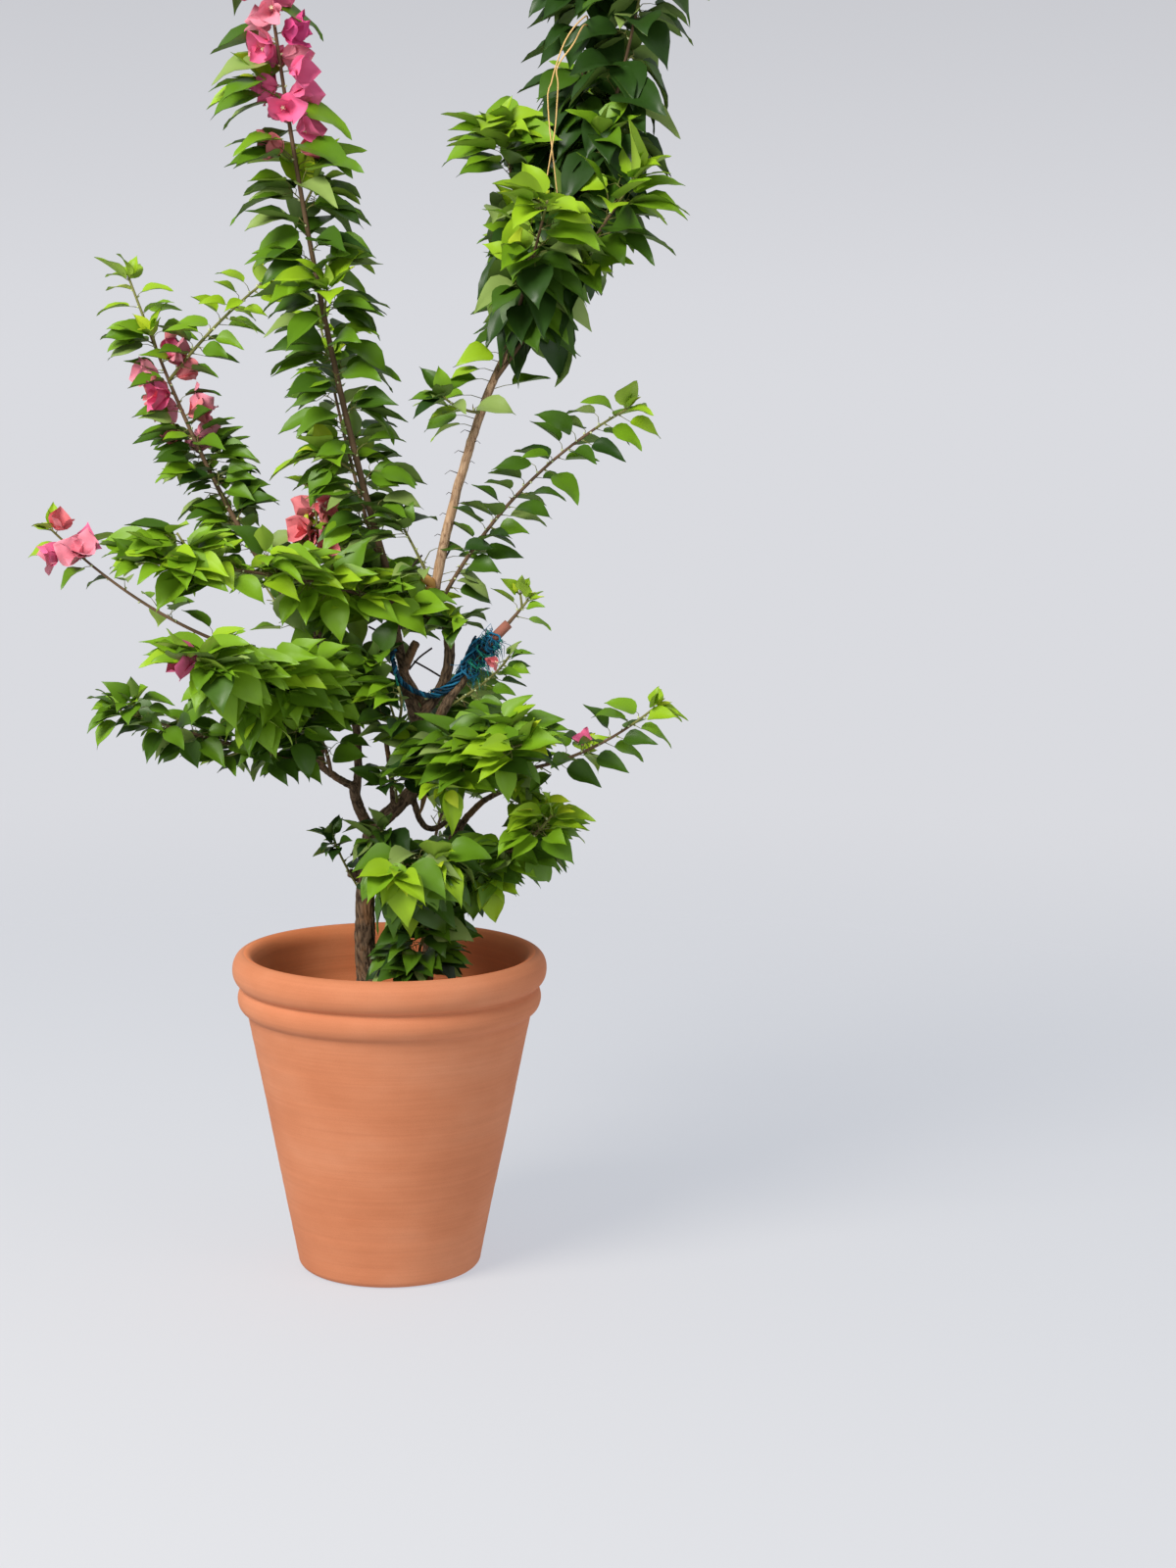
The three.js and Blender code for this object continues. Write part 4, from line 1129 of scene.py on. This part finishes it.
def side_twigs(row, axis, bare):
    """The source's side twigs: as many, from the same numbers."""
    random = seeded(1000 + SHOOTS.index(row))
    twigs = []
    for i in range(row.twigs):
        at = bare + (LAST_TWIG - bare) * (i + random()) / row.twigs
        angle = 2 * math.pi * (i + 0.5) / RANKS + (random() - 0.5) * RANK_SPREAD
        direction = unit(axis.tangent(at) * TWIG_LEAN + axis.outward(at, angle) + UP * TWIG_RISE)
        length = row.reach * (1 - TWIG_SHORTENING * at) * (0.8 + 0.4 * random())
        twigs.append((at, straight(axis.point(at), direction, length, (TWIG_RADIUS, SHOOT_TIP_RADIUS))))
    return twigs


def bract_kind(rng, coral):
    """Warm bracts for this share of them, and pink ones, some of which take the pink's darker copy as painted
    shade.
    """
    pink = 1 - coral
    return BRACT_KINDS[rng.choice(4, p=(0.56 * pink, 0.12 * pink, 0.68 * coral, 0.32))]


def grow_bloom(plant, rng, row, axis):
    """Clusters of bracts, one or two at each node of the blooming stretch."""
    along, end = row.bloom[0] * axis.length, min(row.bloom[1], 0.985) * axis.length
    angle = rng.uniform(0, 2 * math.pi)
    while along < end:
        share = along / axis.length
        for _ in range(1 + (rng.uniform() < 0.4)):
            out = turned(axis.outward(share, angle), axis.tangent(share), rng.uniform(-0.6, 0.6))
            stalk = unit(out * (1, 0.7, 1) + axis.tangent(share) * rng.uniform(-0.1, 0.5))
            grow_cluster(plant, rng, axis.point(share), stalk, rng.uniform(4, 12), 3, row.coral)
        along += rng.uniform(11, 18)
        angle += GOLDEN_ANGLE


def grow_cluster(plant, rng, root, stalk, reach, count, coral, size=1.0):
    """Bracts round their flowers, on a stalk."""
    heart = root + stalk * reach
    if not plant.is_clear(heart + stalk * 26 * size, 3):
        return
    plant.add_stem("young_stems", [root, (root + heart) / 2, heart], (0.8, 0.65, 0.6), 4)
    across = unit(cross(stalk, UP + rng.normal(0, 0.2, 3)))
    kind = bract_kind(rng, coral)
    turn = rng.uniform(0, 2 * math.pi)
    for k in range(count):
        side = turned(across, stalk, turn + 2 * math.pi * k / 3)
        blade = unit(side * rng.uniform(0.35, 0.75) + stalk * 0.9)
        plant.bracts[kind].add(heart, blade, stalk - side * 0.6, size * BRACT_LENGTH * rng.uniform(0.8, 1.1),
                               rng.uniform(0.85, 1.1), rng.integers(VARIANTS))
        if rng.uniform() < 0.6 * size:
            grow_flower(plant, rng, heart, unit(stalk + side * 0.35))


def grow_flower(plant, rng, heart, direction):
    """A cream tube that opens into a five-pointed star."""
    mouth = heart + direction * rng.uniform(11, 16)
    plant.add_stem("flowers", [heart, (heart + mouth) / 2, mouth], (0.8, 0.9, 1.2), 5)
    side = unit(cross(direction, UP + 0.1))
    rim = []
    for k in range(10):
        reach = 3.4 if k % 2 == 0 else 1.5
        rim.append(mouth + turned(side, direction, math.pi * k / 5) * reach + direction * 0.7)
    plant.stems["flowers"].add(np.array([mouth, *rim]), [[0, 1 + k, 1 + (k + 1) % 10] for k in range(10)])


def grow_shoot(plant, row, number):
    axis, bough = plant.axes[row.name], plant.axes[row.on]
    bare = bough.radius(row.at) + BARE_FOOT
    rng = np.random.default_rng(5000 + number)
    line, radii = axis.points(STEM_STEP)
    split = min(len(line) - 3, round(len(line) * WOODY_SHARE))
    woody = "woody_stems" if row.radius > 2.5 else "young_stems"
    plant.add_stem(woody, line[:split + 1], radii[:split + 1], 8)
    plant.add_stem("young_stems", line[split:], radii[split:], 8)
    grow_leaves(plant, rng, row, axis, bare + row.foot, None, line)
    for at, twig in side_twigs(row, axis, bare / axis.length):
        if plant.is_clear(twig.tip, 4) and not plant.in_window(np.array([twig.tip]), 2):
            plant.add_stem("young_stems", *twig.points(STEM_STEP), 6)
            grow_leaves(plant, rng, row, twig, 12, at, line)
    if row.bloom[0] < 1:
        grow_bloom(plant, rng, row, axis)
    for share, size, rise in row.lone:
        stalk = unit(axis.outward(share, rng.uniform(0, 6)) * (1, 0.5, 0.3) + vector((0, -0.8, rise)))
        grow_cluster(plant, rng, axis.point(share), stalk, LONE_STALK * size, 2, 0.5, size)


# On the bare stem: share of its length, side and age of a long-stalked leaf
TALL_LEAVES = [
    (0.02, -1, 0.75), (0.04, 1, 0.7), (0.05, -1, 0.8), (0.07, 1, 0.8), (0.09, -1, 0.6), (0.11, -1, 0.7),
    (0.13, 1, 0.6), (0.15, -1, 0.9), (0.16, 1, 0.9),
    (0.64, -1, 0.2), (0.67, -1, 0.45), (0.69, -1, 0.25), (0.75, -1, 0.4), (0.79, 1, 0.7), (0.82, -1, 0.45),
    (0.86, -1, 0.25), (0.9, -1, 0.5), (0.93, -1, 0.3),
]
WHISKER_SHARES = np.linspace(0.18, 0.62, 12)


def grow_on_tall_stem(plant):
    """Long-stalked leaves near the top and the foot of the bare stem, and dry curved stalks between."""
    rng = np.random.default_rng(77)
    axis = plant.axes[TALL_STEM]
    row = SimpleNamespace(hang=0.3, bared=0.0, pale=0.55)
    for share, side, age in TALL_LEAVES:
        out = unit(vector((side, rng.uniform(-0.7, 0.3), 0.3)))
        blade = unit(out * (1, 1, 0) - UP * rng.uniform(0.0, 0.4))
        plant.add_leaf(rng, row, axis.point(share), out, blade, rng.uniform(42, 54), age,
                       axis.radius(share), 19)
    for i, share in enumerate(WHISKER_SHARES):
        out = unit(vector(((-1) ** i, rng.uniform(-0.8, 0.8), 0.15)))
        root = axis.point(share) + out * axis.radius(share) * 0.7
        length = rng.uniform(9, 19)
        bend = root + out * length * 0.6 + UP * length * 0.12
        end = root + out * length - UP * length * 0.22
        plant.add_stem("dark_twigs", [root, bend, end], (0.7, 0.4, 0.3), 4)


def build_foliage(axes):
    plant = Plant(axes)
    for number, row in enumerate(SHOOTS):
        grow_shoot(plant, row, number)
    grow_on_tall_stem(plant)
    grow_details(plant)
    nodes = [row.name for row in SHOOTS if row.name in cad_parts]
    for kind, pile in plant.stems.items():
        thing = mesh_object(kind, np.concatenate(pile.points), pile.faces, plain_material(kind))
        slot = "foliage" if kind == "flowers" else "bark"
        finish_piece(thing, slot, nodes if kind == "young_stems" else ())
    templates = plant.leaves["leaf_mid"].templates
    undersides = {"under_light": Blades(templates), "under_dull": Blades(templates)}
    for kind, blades in plant.leaves.items():
        blades.pieces(kind, plain_material(kind))
        undersides["under_light" if kind in LEAF_KINDS[:3] else "under_dull"].rows.extend(blades.rows)
    for kind, blades in undersides.items():
        blades.pieces(kind, plain_material(kind), flipped=True)
    for kind, blades in plant.bracts.items():
        blades.pieces(kind, plain_material(kind))


# --- small things on the plant -------------------------------------------------------------------------

# Two straws hang over the leaves of the right crown and cross on their way down
STRAWS = [
    [(244, 40, 1577), (240, 0, 1576), (232, -34, 1568), (220, -55, 1554), (209, -57, 1536), (199, -57, 1508),
     (194, -56, 1489), (190, -56, 1476), (192, -60, 1439), (195, -64, 1413), (202, -68, 1356)],
    [(247, 40, 1565), (239, 0, 1566), (231, -34, 1556), (220, -58, 1535), (207, -60, 1518), (200, -60, 1504),
     (202, -60, 1489), (201, -60, 1465), (199, -64, 1437), (195, -68, 1413), (187, -72, 1365)],
]
STRAW_FRONT = -48

# Twine tied round the right bough and the limbs beside it
TWINE_LOOP = [(8, 6, 800), (3, -8, 792), (5, -19, 780), (9, -20, 766), (18, -20, 755), (33, -20, 746),
              (52, -20, 741), (69, -21, 746), (82, -24, 758), (92, -26, 774), (101, -26, 794),
              (110, -22, 812)]
TWINE_END = [(6, -24, 768), (10, -25, 754), (15, -24, 739), (19, -23, 722)]
# The first is the blue twine's darker copy, for painted shade.
TWINE_COLOURS = ("twine_dark", "twine_blue", "twine_green")
KNOT_TURNS, KNOT_STRETCH = 16, (0.62, 0.86)
FRAYED_YARNS, FRAYED_STRETCH = 240, (0.56, 0.9)


def smooth_line(points, step):
    """A soft curve through points, by the Catmull-Rom rule."""
    knots = [vector(p) for p in (points[0], *points, points[-1])]
    line = []
    for a, b, c, d in zip(knots, knots[1:], knots[2:], knots[3:]):
        count = max(1, round(np.linalg.norm(c - b) / step))
        for t in np.arange(count) / count:
            line.append(0.5 * (2 * b + (c - a) * t + (2 * a - 5 * b + 4 * c - d) * t ** 2
                               + (3 * b - a - 3 * c + d) * t ** 3))
    return np.array([*line, knots[-1]])


def add_strand(pile, line, radius, strand, strands, lay, yarn):
    """One yarn of a laid twine that winds round a line."""
    tangents = np.gradient(line, axis=0)
    tangents /= np.linalg.norm(tangents, axis=1)[:, None]
    side = np.cross(tangents, (0.1, 1, 0.2))
    side /= np.linalg.norm(side, axis=1)[:, None]
    other = np.cross(tangents, side)
    lengths = np.concatenate([[0], np.cumsum(np.linalg.norm(np.diff(line, axis=0), axis=1))])
    phase = (2 * np.pi * (lengths / lay + strand / strands))[:, None]
    winding = line + radius * (np.cos(phase) * side + np.sin(phase) * other)
    pile.add(*tube(winding, np.full(len(line), yarn), 5))


def build_twine(axes):
    """A loop of twine in the blue's darker copy as painted shade, its frayed knot on the right bough, and its
    green end.
    """
    rng = np.random.default_rng(9)
    piles = {kind: Pile() for kind in TWINE_COLOURS}
    loop = smooth_line(TWINE_LOOP, 1.5)
    for strand in range(3):
        add_strand(piles[TWINE_COLOURS[strand == 2]], loop, 2, strand, 3, 16, 1.8)
    slack = smooth_line([(x, y - 1, z + 3) for x, y, z in TWINE_LOOP[6:]], 1.5)
    for strand in range(5):
        add_strand(piles[TWINE_COLOURS[strand % 2]], slack, 4.2, strand, 5, 46, 1.4)
    for strand in range(2):
        add_strand(piles["twine_green"], smooth_line(TWINE_END, 2), 0.9, strand, 2, 12, 0.75)
    bough = axes["right_short_bough"]
    for i in range(KNOT_TURNS):
        share = rng.uniform(*KNOT_STRETCH)
        tilt, radius = rng.uniform(-1, 1), bough.radius(share) + rng.uniform(1.5, 6)
        ring = np.array([
            bough.point(share + 0.07 * tilt * math.cos(t))
            + bough.outward(share, t) * radius * (1 + 0.08 * math.sin(3 * t + i))
            for t in np.linspace(0, 2 * np.pi, 30)
        ])
        add_strand(piles[TWINE_COLOURS[rng.choice(3, p=(0.4, 0.5, 0.1))]], ring, 0.9, 0, 1, 14, 1.4)
    for _ in range(FRAYED_YARNS):
        share = rng.uniform(*FRAYED_STRETCH)
        out = bough.outward(share, rng.uniform(0, 2 * math.pi))
        root = bough.point(share) + out * (bough.radius(share) + 3)
        bend = root + out * rng.uniform(2, 8) + rng.normal(0, 3, 3)
        end = bend + out * rng.uniform(0, 5) + rng.normal(0, 4, 3) - UP * rng.uniform(0, 14)
        kind = TWINE_COLOURS[rng.choice(3, p=(0.15, 0.5, 0.35))]
        piles[kind].add(*tube([root, bend, end], (0.6, 0.45, 0.25), 4))
    for kind, pile in piles.items():
        thing = mesh_object(kind, np.concatenate(pile.points), pile.faces, plain_material(kind))
        finish_piece(thing, "foliage")


# Dark leafless twigs inside the crown
DARK_TWIGS = [
    [(24, 15, 770), (36, 14, 785), (53, 12, 798)],
    [(30, 15, 781), (48, 16, 771), (68, 14, 759)],
    [(61, 5, 885), (66, 2, 905), (76, 0, 925)],
    [(-47, 0, 731), (-58, -3, 757), (-70, 0, 782)],
    [(5, 0, 765), (-14, -4, 782), (-38, 0, 794)],
    [(2, 0, 807), (-12, -3, 818), (-27, 0, 826)],
    [(23, 0, 892), (30, -3, 905), (40, 0, 916)],
]
DRY_STRIP = ((44, -22, 640), (41, -24, 584))
FLAYED_SHARES = (0.86, 0.9, 0.95, 1.0)  # of the right short bough

# The cut end of a side branch at the foot of the tall stem: weathered wood, then a pale face
KNOB = [
    ("knob", [(54, 0, 872), (50, -6, 883), (44, -11, 887), (41, -13, 883)], (5.5, 6.8, 6.2, 4.5)),
    ("knob", [(54, -3, 866), (49, -9, 873), (45, -13, 873)], (5, 6, 4.8)),
    ("knob_face", [(48, -12, 869), (46, -16, 867), (45.5, -17, 866.5)], (5, 4.4, 3.4)),
]


def grow_details(plant):
    for line in STRAWS:
        smooth = smooth_line(line, 6)
        plant.add_stem("straws", smooth, np.linspace(1.15, 0.75, len(smooth)), 5)
    for line in DARK_TWIGS:
        plant.add_stem("dark_twigs", smooth_line(line, 8), np.full(len(smooth_line(line, 8)), 1.3), 5)
    for kind, line, radii in KNOB:
        plant.add_stem(kind, [vector(p) for p in line], radii, 14)
    bough = plant.axes["right_short_bough"]
    flayed = [bough.point(share) for share in FLAYED_SHARES]
    plant.add_stem("flayed_bark", flayed, [bough.radius(share) + 0.8 for share in FLAYED_SHARES], 14)
    top, low = (vector(p) for p in DRY_STRIP)
    plant.leaves["dry_leaf"].add(top, unit(low - top), vector((0.3, -1, 0)), np.linalg.norm(low - top),
                                 0.25, 3)


# --- camera, light and stage --------------------------------------------------------------------------

PHOTO_HEIGHT = 1600
FOCAL_PIXELS = 2813
EYE = (0.0, -3466.0, 1133.0)
PAN, TILT, ROLL = math.radians(4.15), math.radians(8.3), math.radians(0.6)


def add_camera():
    """The photograph's view: panned to the right, tilted down and rolled a little."""
    forward = vector((math.sin(PAN) * math.cos(TILT), math.cos(PAN) * math.cos(TILT), -math.sin(TILT)))
    level = vector((math.cos(PAN), -math.sin(PAN), 0))
    upward = cross(level, forward)
    right = level * math.cos(ROLL) + upward * math.sin(ROLL)
    top = upward * math.cos(ROLL) - level * math.sin(ROLL)
    lens = bpy.data.cameras.new("camera")
    lens.sensor_fit = "VERTICAL"
    lens.sensor_height = 36
    lens.lens = FOCAL_PIXELS / PHOTO_HEIGHT * lens.sensor_height
    camera = new_object("camera", lens)
    turn = Matrix((right, top, -forward)).transposed().to_4x4()
    camera.matrix_world = Matrix.Translation(vector(EYE) * MM) @ turn
    bpy.context.scene.camera = camera


def add_light(name, place, aim, size, watts, colour=(1, 1, 1)):
    lamp = bpy.data.lights.new(name, "AREA")
    lamp.shape = "DISK"
    lamp.size = size
    lamp.energy = watts
    lamp.color = colour
    thing = new_object(name, lamp)
    thing.location = place
    thing.rotation_euler = (Vector(aim) - Vector(place)).to_track_quat("-Z", "Y").to_euler()


AMBIENT = 0.75  # how much of the studio's brightness lights the plant


def add_world():
    """A pale grey-blue studio, a little darker overhead."""
    world = bpy.data.worlds.new("studio")
    world.use_nodes = True
    nodes, links = world.node_tree.nodes, world.node_tree.links
    place = nodes.new("ShaderNodeTexCoord")
    parts = nodes.new("ShaderNodeSeparateXYZ")
    links.new(place.outputs["Generated"], parts.inputs["Vector"])
    colour = ramp(nodes, links, parts.outputs["Z"], [
        (0.0, (0.7, 0.708, 0.745)),
        (0.03, (0.69, 0.697, 0.735)),
        (0.16, (0.57, 0.577, 0.612)),
    ])
    links.new(colour, nodes["Background"].inputs["Color"])
    rays = nodes.new("ShaderNodeLightPath")
    strength = nodes.new("ShaderNodeMapRange")
    strength.inputs["To Min"].default_value = AMBIENT
    links.new(rays.outputs["Is Camera Ray"], strength.inputs["Value"])
    links.new(strength.outputs["Result"], nodes["Background"].inputs["Strength"])
    bpy.context.scene.world = world


FLOOR_COLOUR = (0.242, 0.23, 0.214)
FLOOR_GLOW = (0.462, 0.489, 0.543)


def add_floor():
    """A pale floor that fades into the studio. Its own faint light keeps the shadow on it soft."""
    sides, radius = 96, 6000
    points = [(radius * math.cos(2 * math.pi * k / sides), radius * math.sin(2 * math.pi * k / sides), 0)
              for k in range(sides)]
    material, nodes, links, shader = new_material("floor", FLOOR_COLOUR, 0.9, 0.1)
    shader.inputs["Emission Color"].default_value = (*FLOOR_GLOW, 1)
    shader.inputs["Emission Strength"].default_value = 1
    place = nodes.new("ShaderNodeTexCoord")
    distance = nodes.new("ShaderNodeVectorMath")
    distance.operation = "LENGTH"
    links.new(place.outputs["Object"], distance.inputs[0])
    fade = nodes.new("ShaderNodeMapRange")
    fade.interpolation_type = "SMOOTHSTEP"
    fade.inputs["From Min"].default_value = 0.9
    fade.inputs["From Max"].default_value = 4.2
    links.new(distance.outputs["Value"], fade.inputs["Value"])
    clear = nodes.new("ShaderNodeBsdfTransparent")
    mix = nodes.new("ShaderNodeMixShader")
    links.new(fade.outputs["Result"], mix.inputs["Fac"])
    links.new(shader.outputs["BSDF"], mix.inputs[1])
    links.new(clear.outputs["BSDF"], mix.inputs[2])
    links.new(mix.outputs["Shader"], nodes["Material Output"].inputs["Surface"])
    mesh_object("floor", points, [list(range(sides))], material, smooth=False)


def set_stage():
    add_camera()
    add_world()
    add_floor()
    add_light("key", (-2.4, -2.6, 3.6), (0, 0, 0.7), 2.4, 240, (1.0, 0.975, 0.93))
    add_light("fill", (2.8, -2.2, 1.6), (0, 0, 0.7), 2.4, 16, (0.95, 0.975, 1.0))
    bpy.context.scene.view_settings.view_transform = "Standard"


def main():
    set_stage()
    axes = lay_out([*LIMBS, *SHOOTS])
    build_pot()
    build_soil()
    build_bark(axes)
    build_foliage(axes)
    build_twine(axes)


main()
